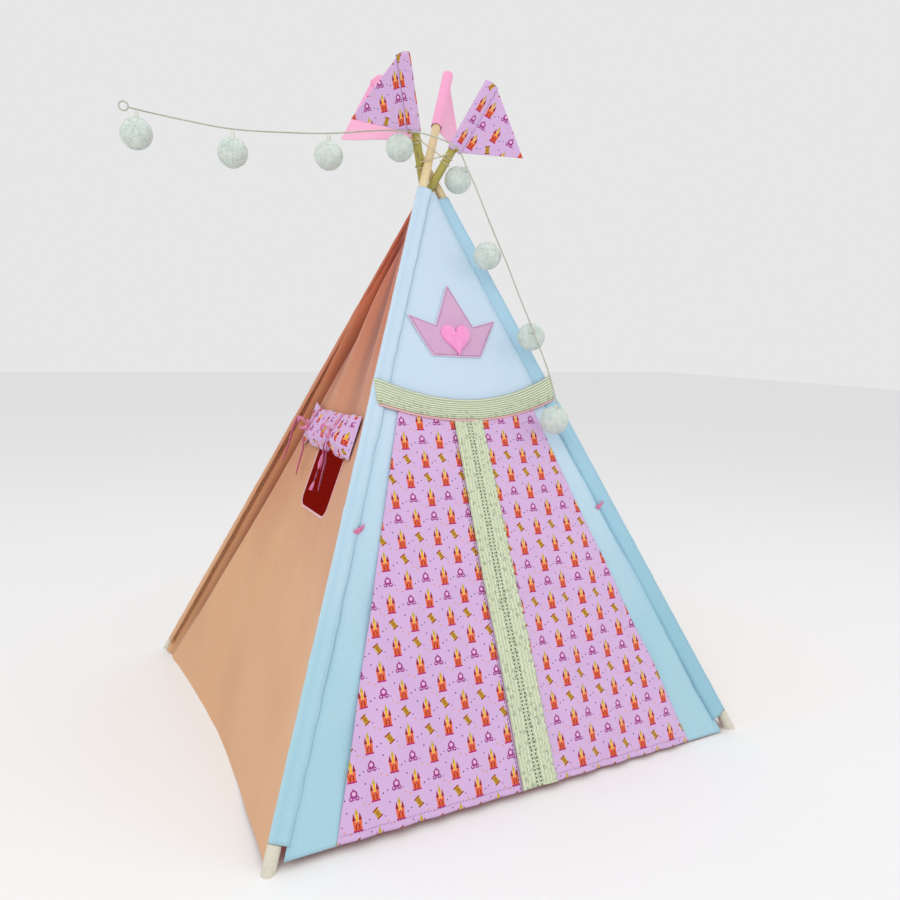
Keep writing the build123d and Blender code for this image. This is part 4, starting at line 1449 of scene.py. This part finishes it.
@dataclass
class Window:
    """The window in the left wall.

    Args:
        middle: x of its middle.
        width: across.
        heights: lower and upper edge.
        corner: radius of its corners.
    """

    middle: float = 0.070
    width: float = 0.205
    heights: tuple[float, float] = (0.556, 0.776)
    corner: float = 0.026

    def outline(self, grow: float = 0.0, each: int = 8) -> list[tuple[float, float]]:
        """(x, s) places round its edge, moved outwards by a distance."""
        radius = self.corner + grow
        half, low, high = self.width / 2 - self.corner, self.heights[0] + self.corner, self.heights[1] - self.corner
        corners = ((half, high, 0), (-half, high, 90), (-half, low, 180), (half, low, 270))
        found = []
        for x, s, start in corners:
            for n in range(each + 1):
                angle = math.radians(start + 90 * n / each)
                found.append((self.middle + x + radius * math.cos(angle), s + radius * math.sin(angle)))
        return found

    def cut(self, wall: bpy.types.Object) -> None:
        """Cuts the opening through a wall."""
        cutter = plate("window_cutter", [LEFT.place(x, s, 0.08) for x, s in self.outline()], LEFT.normal, 0.30)
        apply_modifier(wall, "BOOLEAN", operation="DIFFERENCE", object=cutter, solver="EXACT")
        bpy.data.objects.remove(cutter)

    def bind(self) -> bpy.types.Object:
        """The narrow binding round the opening."""
        inner, outer = self.outline(-0.0015), self.outline(0.0050)
        rings = (inner, [tuple(Vector(a).lerp(b, 0.5)) for a, b in zip(inner, outer)], outer)

        def spot(u: float, v: float) -> Vector:
            ring = rings[round(u * 2)]
            x, s = ring[round(v * len(inner)) % len(inner)]
            return LEFT.place(x, s, left_lift(x, s) + (0.0014 if 0.2 < u < 0.8 else 0.0004))

        piece = cut_cloth("window_binding", 2, len(inner), spot, lambda u, v: (u * 0.006, v * 0.7))
        thicken(piece, 0.0009)
        soften(piece)
        return piece


@dataclass
class Walls:
    """The two side walls and the back; their inner side, a deep red in painted shade with a painted glow, shows
    through the window.
    """

    window: Window

    def wall(self, name: str, face: TentFace, lift: Callable[[float, float], float], cells: tuple[int, int],
             insets: tuple[float, float], crease_shade: Callable[[float, float], float]) -> FlatPiece:
        """The cut of one wall, up to its sleeves."""
        edges = ((lambda s: face.left(s) + min(insets[0], (face.right(s) - face.left(s)) * 0.3)),
                 (lambda s: face.right(s) - min(insets[1], (face.right(s) - face.left(s)) * 0.3)))
        return FlatPiece(name, face, edges, (HEM, FABRIC_TOP - 0.004), lift, cells, crease_shade)

    def build(self) -> None:
        """Makes and dresses the three walls."""
        # Painted shade: on the left wall darker in the groove beside the rear sleeve, in the hollows of the folds and
        # in random patches; on the right and back walls in soft random patches.
        def crease_shade(x: float, s: float) -> float:
            folds = left_folds(x, s)
            return min(1.0, 0.85 * left_groove(x, s) + max(0.0, -folds) * 0.9
                       + 0.16 * max(0.0, ripple(x * 5 + s * 3, s * 4 - x, 3)))

        def soft(x: float, s: float) -> float:
            return 0.25 * max(0.0, ripple(x * 5, s * 4, 6))

        cuts = (
            ("left_panel", LEFT, left_lift, (150, 210), (0.022, 0.004), crease_shade, "side_walls"),
            ("right_panel", RIGHT, plain_lift(RIGHT, WALL_SAG, 21.0), (60, 80), (0.004, 0.022), soft, "side_walls"),
            ("back_panel", BACK, plain_lift(BACK, 0.02, 31.0), (60, 80), (0.022, 0.004), soft, "rear_frame"),
        )
        for node, face, lift, cells, insets, shade, body in cuts:
            cut = self.wall(node + "_cloth", face, lift, cells, insets, shade)
            sheet = cut.build(lining=True)
            if node == "left_panel":
                self.window.cut(sheet)
                soften(sheet, 60)
            # The inner side takes a deep red in painted shade, with a painted glow.
            dress(sheet, "canvas_peach", STOCK.of(PEACH_CANVAS), STOCK.of(PEACH_INNER_SHADE))
            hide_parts(node)
            cut.declare(sheet, "stretched", ["rear_left_pole" if face is LEFT else "rear_right_pole"])
            if body == "side_walls":
                fold_with_walls(sheet)
            else:
                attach(sheet, body)
        binding = self.window.bind()
        dress(binding, "canvas_peach", STOCK.of(BINDING))
        fold_with_walls(binding)


# ---------------------------------------------------------------- window curtain
def on_left(x: float, s: float, rise: float) -> Vector:
    """A place at a rise above the left wall."""
    return LEFT.place(x, s, skin(LEFT, x, s) - wall_sag(LEFT, x, s, WALL_SAG) + rise)


@dataclass
class WindowCurtain:
    """The printed curtain, gathered up over the window and tied with two ribbons.

    Args:
        ends: x of its two ends.
        ties: x of the two ribbons.
        heights: lower and upper edge of the gathered cloth.
    """

    ends: tuple[float, float] = (-0.130, 0.236)
    ties: tuple[float, float] = (-0.094, 0.078)
    heights: tuple[float, float] = (0.694, 0.788)

    def pinch(self, x: float) -> float:
        """0 to 1: how near a place is to a ribbon."""
        return min(1.0, sum(bump(x, tie, 0.016) for tie in self.ties))

    def spot(self, u: float, v: float) -> Vector:
        """The point a share round the roll and a share along it."""
        x = mix(*self.ends, v)
        turn = 2 * math.pi * u
        out, up = max(0.0, math.sin(turn)), -math.cos(turn)
        pinch = self.pinch(x)
        flare = ease(v, 0.10, 0.0)
        low = self.heights[0] + 0.020 * pinch + 0.007 * ripple(x * 42, 1.0, 2.0) - 0.006 * flare
        top = self.heights[1] - 0.004 * pinch + 0.004 * ripple(x * 26, 5.0, 2.0) + 0.012 * flare
        s = mix(low, top, 0.5 + 0.5 * up)
        roll = 0.012 + 0.013 * bump(s, low + 0.030, 0.024)
        pleat = math.sin(x * 2 * math.pi / 0.0175 + 2.6 * ripple(x * 12, s * 9, 7.0) + s * 20)
        depth = roll * (1 - 0.55 * pinch) * (0.04 + 0.96 * ease(min(v, 1 - v), -0.01, 0.10))
        lift = depth * out ** 0.55 + (0.0034 * pleat + 0.003 * ripple(x * 30, s * 40, 1.0)) * out ** 0.5
        shift = 0.006 * ripple(x * 20, s * 16, 9.0)
        return on_left(x + shift - 0.010 * flare * (0.5 + 0.5 * up), s, 0.0045 + max(0.0, lift))

    def build(self) -> None:
        """Makes the gathered cloth, its bows and its loose ends."""
        cloth = cut_cloth("window_curtain_cloth", 64, 260, self.spot, lambda u, v: (v * 0.52, u * 0.36))
        in_edit(cloth, lambda: bpy.ops.mesh.remove_doubles(threshold=0.00005))
        middle = cloth.data.polygons[16 + 64 * 130]
        if middle.normal.dot(LEFT.normal) < 0:
            in_edit(cloth, bpy.ops.mesh.flip_normals)
        soften(cloth)
        dress(cloth, "print_cotton", STOCK.of(PRINT))
        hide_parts("window_curtain")
        fold_with_walls(cloth)
        self.tie_ribbons()

    def tie_ribbons(self) -> None:
        """A band round the gathers, a knot, two loops and the tails at each tie."""
        pieces = []
        side = LEFT.x_dir
        for number, x in enumerate(self.ties):
            tag = "window_ribbon_" + str(number + 1)
            band = [on_left(x, s, rise) for s, rise in
                    ((0.790, 0.004), (0.780, 0.013), (0.762, 0.017), (0.738, 0.020), (0.718, 0.018), (0.711, 0.006))]
            pieces.append(ribbon(tag + "_band", band, lambda v: side * 0.0040, 40))
            for sign in (-1, 1):
                loop = [on_left(x + sign * a, 0.734 + b, 0.024 + c) for a, b, c in
                        ((0.000, 0.0, 0.0), (0.014, 0.011, 0.010), (0.033, 0.013, 0.014), (0.040, 0.001, 0.012),
                         (0.030, -0.009, 0.004), (0.013, -0.005, 0.002), (0.001, -0.001, 0.001))]
                width = (LEFT.s_dir * 0.7 + LEFT.normal * 0.7) * 0.0044
                pieces.append(ribbon(tag + "_loop_" + ("a" if sign < 0 else "b"), loop, lambda v, w=width: w, 70))
            knot = [on_left(x + a, 0.734 + b, 0.026 + c) for a, b, c in
                    ((-0.005, 0.006, -0.004), (-0.002, 0.003, 0.002), (0.002, -0.003, 0.002), (0.005, -0.006, -0.004))]
            pieces.append(ribbon(tag + "_knot", knot, lambda v: (side + LEFT.s_dir) * 0.0040, 16))
        left, right = self.ties
        tails = (
            ("long", ((left, 0.740, 0.026), (left - 0.030, 0.752, 0.034), (left - 0.068, 0.744, 0.030),
                      (left - 0.092, 0.712, 0.020), (left - 0.102, 0.672, 0.012), (left - 0.108, 0.632, 0.010))),
            ("short", ((left, 0.738, 0.025), (left - 0.006, 0.712, 0.026), (left + 0.004, 0.682, 0.018),
                       (left - 0.004, 0.648, 0.012), (left + 0.001, 0.612, 0.010))),
            ("right", ((right, 0.738, 0.025), (right + 0.010, 0.710, 0.026), (right + 0.016, 0.676, 0.018),
                       (right + 0.010, 0.640, 0.012), (right + 0.017, 0.604, 0.010))),
            ("right_short", ((right, 0.738, 0.025), (right - 0.006, 0.706, 0.027), (right - 0.002, 0.676, 0.019),
                             (right - 0.009, 0.650, 0.014))),
            ("inner", ((0.020, 0.712, 0.008), (0.022, 0.690, 0.006), (0.017, 0.660, 0.004), (0.024, 0.630, 0.004),
                       (0.018, 0.596, 0.004))),
        )
        for name, places in tails:
            spin = 5.0 if name == "inner" else 1.1

            def width(v: float, turns: float = spin) -> Vector:
                angle = math.sin(v * turns * 2.2) * 0.9
                return (side * math.cos(angle) + LEFT.normal * math.sin(angle)) * 0.0042

            pieces.append(ribbon("window_ribbon_tail_" + name, [on_left(*p) for p in places], width, 80))
        for piece in pieces:
            thicken(piece, TAPE_THICK)
            soften(piece)
            dress(piece, "print_cotton", STOCK.of(RIBBON_PINK))
            fold_with_walls(piece)
        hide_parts("window_ribbons")


# ---------------------------------------------------------------- small ties on the front
@dataclass
class CurtainTie:
    """A short loop of pink tape sewn beside the door, which holds a folded curtain half.

    Args:
        name: the CAD node that it stands for.
        spot: (x, s) of its middle.
    """

    name: str
    spot: tuple[float, float]

    def build(self) -> None:
        """Makes the loop as one strip that turns over on itself."""
        x, s = self.spot
        places = [FRONT.place(x + a, s + b, skin(FRONT, x, s) + 0.0024 + c) for a, b, c in
                  ((-0.012, -0.004, 0.0), (-0.004, -0.001, 0.0022), (0.006, 0.003, 0.0030), (0.0125, 0.007, 0.0014),
                   (0.010, 0.001, -0.0004), (0.002, -0.004, 0.0004), (-0.008, -0.008, 0.0002))]
        loop = ribbon(self.name + "_tape", places, lambda v: (FRONT.s_dir * 0.8 + FRONT.normal * 0.5) * 0.0036, 60)
        thicken(loop, TAPE_THICK)
        soften(loop)
        dress(loop, "pink_cotton", STOCK.of(RIBBON_PINK))
        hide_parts(self.name)
        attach(loop, "front_frame")


# ---------------------------------------------------------------- pennants
@dataclass
class Pennant:
    """A three-cornered flag, printed on one side and pink on the other, on a sleeve over its pole's end.

    Args:
        name: of its pole.
        axis: of its pole.
        reach: length of the pole above the crossing.
        heading: the way its tip points, in degrees.
        print_side: +1 if the print is on the side of the flag's own normal.
        wave: how the cloth curls.
        plain_sleeve: its sleeve is of the pink cloth.
    """

    name: str
    axis: PoleAxis
    reach: float
    heading: float
    print_side: int
    wave: float
    plain_sleeve: bool = False
    hoist: float = 0.172
    out: float = 0.154
    tip_up: float = 0.068
    radius: float = 0.0122
    seam: float = 0.021

    def placing(self) -> tuple[Vector, Vector, Vector]:
        """Foot of the hoist, the way out and the flag's normal."""
        heading = Vector((math.cos(math.radians(self.heading)), math.sin(math.radians(self.heading)), 0))
        out = (heading - self.axis.direction * heading.dot(self.axis.direction)).normalized()
        return self.axis.at(self.reach + 0.0028 - self.hoist), out, out.cross(self.axis.direction)

    def build(self) -> None:
        """Makes the sleeve, the flag and the seam between them."""
        foot, out, normal = self.placing()
        up = self.axis.direction

        def bend(across: float, height: float) -> float:
            share = across / self.out
            return self.wave * (0.014 * share**2 + 0.0035 * math.sin(across * 55 + height * 26) * share)

        def flag(u: float, v: float) -> Vector:
            low, high = mix(0.0006, self.tip_up, u), mix(self.hoist - 0.0006, self.tip_up, u)
            across, height = mix(0.0135, self.out, u), mix(low, high, v)
            return foot + out * across + up * height + normal * (bend(across, height) + 0.0006)

        def tube(u: float, v: float) -> Vector:
            height = self.hoist * v
            close = 1.0 if v < 0.984 else math.sqrt(max(0.0, 1 - ((v - 0.984) / 0.016) ** 2))
            if u < 0.3 or u > 0.7:
                share = u / 0.3 if u < 0.3 else (1 - u) / 0.3
                side = 1 if u < 0.3 else -1
                across, lift = mix(self.seam, 0, share), side * mix(0.0012, self.radius, ease(share, -0.15, 1.0))
            else:
                turn = (u - 0.3) / 0.4 * math.pi
                across, lift = -self.radius * math.sin(turn), self.radius * math.cos(turn)
            crinkle = 1 + 0.035 * ripple(u * 6, v * 9, self.heading)
            shift = bend(self.seam, height) * (1 if across > 0 else 0)
            return foot + out * across * max(close, 0.02) + up * height + normal * (lift * close * crinkle + shift)

        sheets = []
        for name, place, cells, cloth in (
            ("_pennant_flag", flag, (44, 44), lambda u, v: (u * self.out, mix(v * self.hoist, self.tip_up, u))),
            ("_pennant_sleeve", tube, (40, 70), lambda u, v: (u * 0.11, v * self.hoist)),
        ):
            sheet = cut_cloth(self.name + name, *cells, place, cloth)
            thicken(sheet, 0.0011, lining=True)
            soften(sheet)
            sheets.append(sheet)
        front, back = (PRINT, PINK_BACK) if self.print_side > 0 else (PINK_BACK, PRINT)
        sleeve = sheets[1]
        dress(sheets[0], "print_cotton", STOCK.of(front), STOCK.of(back))
        dress(sleeve, "print_cotton", *[STOCK.of(PINK_BACK if self.plain_sleeve else PRINT)] * 2)
        for sheet in sheets:
            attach(sheet, self.name + "_flag")
        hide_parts(self.name + "_pennant")
        for side in (-1, 1):
            route = [foot + out * (self.seam - 0.002) + up * (self.hoist * (0.02 + 0.93 * n / 40))
                     + normal * (side * 0.0030 + bend(self.seam, self.hoist * n / 40)) for n in range(41)]
            row = stitches(self.name + "_pennant_seam_" + ("a" if side < 0 else "b"), route, 0.0030, 0.0020, 0.0009)
            dress(row, "print_cotton", STOCK.of(PURPLE_THREAD))
            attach(row, self.name + "_flag")


# ---------------------------------------------------------------- garland and twine
WIRE_ROUTE = (
    (-0.672, 0.026, 1.348), (-0.655, 0.024, 1.345), (-0.555, 0.011, 1.334), (-0.468, 0.006, 1.328),
    (-0.354, 0.002, 1.337), (-0.255, -0.004, 1.346), (-0.133, -0.016, 1.369), (-0.056, -0.034, 1.373),
    (-0.008, -0.058, 1.360), (0.042, -0.066, 1.344), (0.062, -0.068, 1.304), (0.079, -0.085, 1.258),
    (0.090, -0.124, 1.186), (0.103, -0.163, 1.115), (0.112, -0.185, 1.074), (0.124, -0.215, 1.009),
    (0.137, -0.248, 0.945), (0.146, -0.264, 0.905), (0.157, -0.278, 0.868), (0.167, -0.297, 0.820),
    (0.176, -0.315, 0.759),
)
LIGHTS = (
    ((-0.660, 0.022, 1.298), (-0.658, 0.024, 1.345)), ((-0.469, 0.004, 1.281), (-0.468, 0.006, 1.329)),
    ((-0.257, -0.006, 1.299), (-0.256, -0.004, 1.346)), ((-0.086, -0.014, 1.336), (-0.093, -0.024, 1.371)),
    ((0.062, -0.030, 1.277), (0.062, -0.068, 1.304)), ((0.078, -0.150, 1.092), (0.107, -0.174, 1.094)),
    ((0.160, -0.223, 0.909), (0.142, -0.256, 0.924)), ((0.178, -0.303, 0.723), (0.176, -0.315, 0.762)),
)


@dataclass
class Garland:
    """The flex, its sockets and the eight balls of wound cotton yarn.

    Args:
        radius: of a ball.
    """

    radius: float = 0.0318

    def lay_wire(self) -> None:
        """Makes the flex, which comes first, and dresses the loop and the sockets."""
        wire = laid_cord("garland_flex", [Vector(p) for p in WIRE_ROUTE], 0.0016)
        dress(wire, "clear_wire", STOCK.of(CLEAR_WIRE))
        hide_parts("garland_wire")
        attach(wire, "front_frame")
        dress(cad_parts["garland_loop"], "clear_wire", STOCK.of(CLEAR_WIRE))
        dress(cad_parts["garland_sockets"], "socket_plastic", STOCK.of(SOCKET_PLASTIC))

    def model_ball(self) -> bpy.types.Object:
        """One ball: a slightly uneven shell with a puckered hole on top and threads wound over it."""
        deselect()
        bpy.ops.mesh.primitive_ico_sphere_add(subdivisions=5, radius=self.radius)
        shell = bpy.context.object
        for vertex in shell.data.vertices:
            toward = vertex.co.normalized()
            angle = math.acos(max(-1.0, min(1.0, toward.z)))
            dent = 0.0020 * bump(angle, 0.0, 0.20)
            lumps = 0.0005 * ripple(toward.x * 2, toward.y * 2, toward.z * 2)
            vertex.co = toward * (self.radius + lumps - dent)
        deselect()
        threads = []
        for n in range(14):
            golden = n * 2.39996
            tilt = math.acos(1 - (n + 0.5) / 14)
            bpy.ops.mesh.primitive_torus_add(
                major_radius=self.radius * (1.0 + 0.0015 * (n % 3)), minor_radius=0.00045, major_segments=72,
                minor_segments=5, rotation=(tilt, 0.3 * n, golden))
            threads.append(bpy.context.object)
        deselect()
        for piece in (*threads, shell):
            piece.select_set(True)
        bpy.context.view_layer.objects.active = shell
        bpy.ops.object.join()
        settle(shell)
        soften(shell)
        return shell

    def hang_balls(self) -> None:
        """Copies the ball to each socket, with its hole towards the flex."""
        first = self.model_ball()
        for number, (centre, near) in enumerate(LIGHTS):
            ball = first.copy()
            ball.data = first.data.copy()
            bpy.context.collection.objects.link(ball)
            ball.name = "cotton_ball_" + str(number + 1)
            up = (Vector(near) - Vector(centre)).normalized()
            spin = Matrix.Rotation(number * 1.7, 4, "Z")
            ball.data.transform(Matrix.Translation(centre) @ up.to_track_quat("Z", "Y").to_matrix().to_4x4() @ spin)
            dress(ball, "cotton_thread", STOCK.of(YARN))
            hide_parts("light_ball_" + str(number + 1))
            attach(ball, "front_frame")
        bpy.data.objects.remove(first)


@dataclass
class PoleTwine:
    """The twine that ties the two rear poles, one length above the other, and its turns.

    Args:
        heights: of each length on the rear right and on the rear left pole.
        stand: how far it stands off the poles' axes.
        side: heading of that offset, in degrees.
    """

    heights: tuple = ((1.362, 1.317), (1.311, 1.330))
    stand: float = 0.0185
    side: float = 29.0

    def build(self) -> None:
        """Makes both lengths, and finishes the turns."""
        off = Vector((-math.sin(math.radians(self.side)), -math.cos(math.radians(self.side)), 0)) * self.stand
        for name, (right_z, left_z) in zip(("one", "two"), self.heights):
            start, end = REAR_RIGHT.at_height(right_z) + off, REAR_LEFT.at_height(left_z) + off
            dip = Vector((0, 0, -0.0012))
            route = [start, start.lerp(end, 0.33) + dip, start.lerp(end, 0.67) + dip, end]
            length = laid_cord("twine_length_" + name, route, 0.0015)
            dress(length, "twine", STOCK.of(TWINE_CORD))
            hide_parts("twine_" + name)
            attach(length, "rear_frame")
            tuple(start)
        dress(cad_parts["twine_turns"], "twine", STOCK.of(TWINE_CORD))


# ---------------------------------------------------------------- camera, floor and light
CAMERA_AT = Vector((-0.9365, -1.8311, 0.9153))
CAMERA_TURN = (-28.96, 81.89, 1.53)
CAMERA_LENS = 33.1


def place_camera() -> None:
    """The camera: near the front left corner, a little below the top of the cover, looking slightly down."""
    data = bpy.data.cameras.new("Camera")
    data.lens, data.sensor_width, data.clip_end = CAMERA_LENS, 36.0, 50.0
    data.dof.use_dof = False
    camera = bpy.data.objects.new("Camera", data)
    bpy.context.collection.objects.link(camera)
    heading, tilt, roll = (math.radians(a) for a in CAMERA_TURN)
    turn = Matrix.Rotation(heading, 4, "Z") @ Matrix.Rotation(tilt, 4, "X") @ Matrix.Rotation(roll, 4, "Z")
    camera.matrix_world = Matrix.Translation(CAMERA_AT) @ turn
    bpy.context.scene.camera = camera
    bpy.context.scene.view_settings.view_transform = "Standard"


def set_stage() -> None:
    """A plain pale floor and a soft studio light from the left, the right and above."""
    deselect()
    bpy.ops.mesh.primitive_plane_add(size=30.0, location=(0, 0, frame_floor()))
    floor = bpy.context.object
    floor.name = "studio_floor"
    paper = Recipe("white studio paper", 0.9, Specular_IOR_Level=0.1)
    paper.drive("Base Color", linear("#f6f6f6"))
    floor.data.materials.append(paper.material)
    world = bpy.data.worlds.new("studio")
    world.use_nodes = True
    world.node_tree.nodes["Background"].inputs["Color"].default_value = linear("#ffffff")
    world.node_tree.nodes["Background"].inputs["Strength"].default_value = 0.80
    bpy.context.scene.world = world
    for name, at, size, power in (("key", (-2.6, -2.6, 3.2), 2.4, 42.0), ("fill", (2.8, -2.4, 2.0), 2.4, 12.0),
                                  ("top", (0.0, 0.6, 3.6), 2.5, 10.0)):
        data = bpy.data.lights.new(name, "AREA")
        data.size, data.energy = size, power
        lamp = bpy.data.objects.new(name, data)
        bpy.context.collection.objects.link(lamp)
        lamp.location = at
        lamp.rotation_euler = (Vector((0, 0, 0.7)) - Vector(at)).to_track_quat("-Z", "Y").to_euler()


def frame_floor() -> float:
    """Height of the floor, at the lowest point of the foot caps."""
    return min(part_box(name + "_foot_cap")[0].z for name in ("front_left", "front_right", "rear_left", "rear_right"))


def main() -> None:
    """Builds the tent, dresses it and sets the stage."""
    logging.basicConfig(level=logging.INFO, format="%(message)s")
    place_camera()
    garland = Garland()
    garland.lay_wire()
    twine = PoleTwine()
    twine.build()
    # The rear poles take the olive tones: the same wood in painted shade.
    Poles({"front_left": FRONT_LEFT, "front_right": FRONT_RIGHT, "rear_left": REAR_LEFT, "rear_right": REAR_RIGHT},
          {"front_left": CREAM_POLE, "front_right": CREAM_POLE, "rear_left": OLIVE_POLE_SHADED,
           "rear_right": OLIVE_POLE_SHADED}).dress()
    for sleeve in (
        PoleSleeve("front_left_sleeve", FRONT_LEFT, FRONT, 1, SLEEVE_SEAMS["left"], 0.0010, "front_frame",
                   BLUE, "canvas_blue"),
        # The front right sleeve's darker blue canvas is painted shade.
        PoleSleeve("front_right_sleeve", FRONT_RIGHT, FRONT, -1, SLEEVE_SEAMS["right"], 0.0022, "front_frame",
                   BLUE_SLEEVE_SHADED, "canvas_blue"),
        PoleSleeve("rear_left_sleeve", REAR_LEFT, LEFT, 1, (0.040, 0.020), 0.0040, "rear_frame",
                   PEACH_CANVAS, "canvas_peach"),
        PoleSleeve("rear_right_sleeve", REAR_RIGHT, BACK, 1, (0.032, 0.020), 0.0020, "rear_frame",
                   PEACH_CANVAS, "canvas_peach"),
    ):
        sleeve.build()
    FrontCover().build()
    for side in (-1, 1):
        DoorCurtain(side).build()
    lace = LaceTrim()
    lace.build_band()
    lace.build_strip()
    Crown().build()
    Heart().build()
    Walls(Window()).build()
    WindowCurtain().build()
    CurtainTie("left_curtain_tie", (-0.322, 0.560)).build()
    CurtainTie("right_curtain_tie", (0.302, 0.566)).build()
    Pennant("front_left", FRONT_LEFT, 0.298, 45.0, -1, 1.0, plain_sleeve=True).build()
    Pennant("front_right", FRONT_RIGHT, 0.276, 165.0, 1, 1.0, plain_sleeve=True).build()
    Pennant("rear_left", REAR_LEFT, 0.238, 325.0, 1, 1.0).build()
    Pennant("rear_right", REAR_RIGHT, 0.263, 190.0, -1, 1.0).build()
    garland.hang_balls()
    set_stage()


if __name__ == "__main__":
    main()
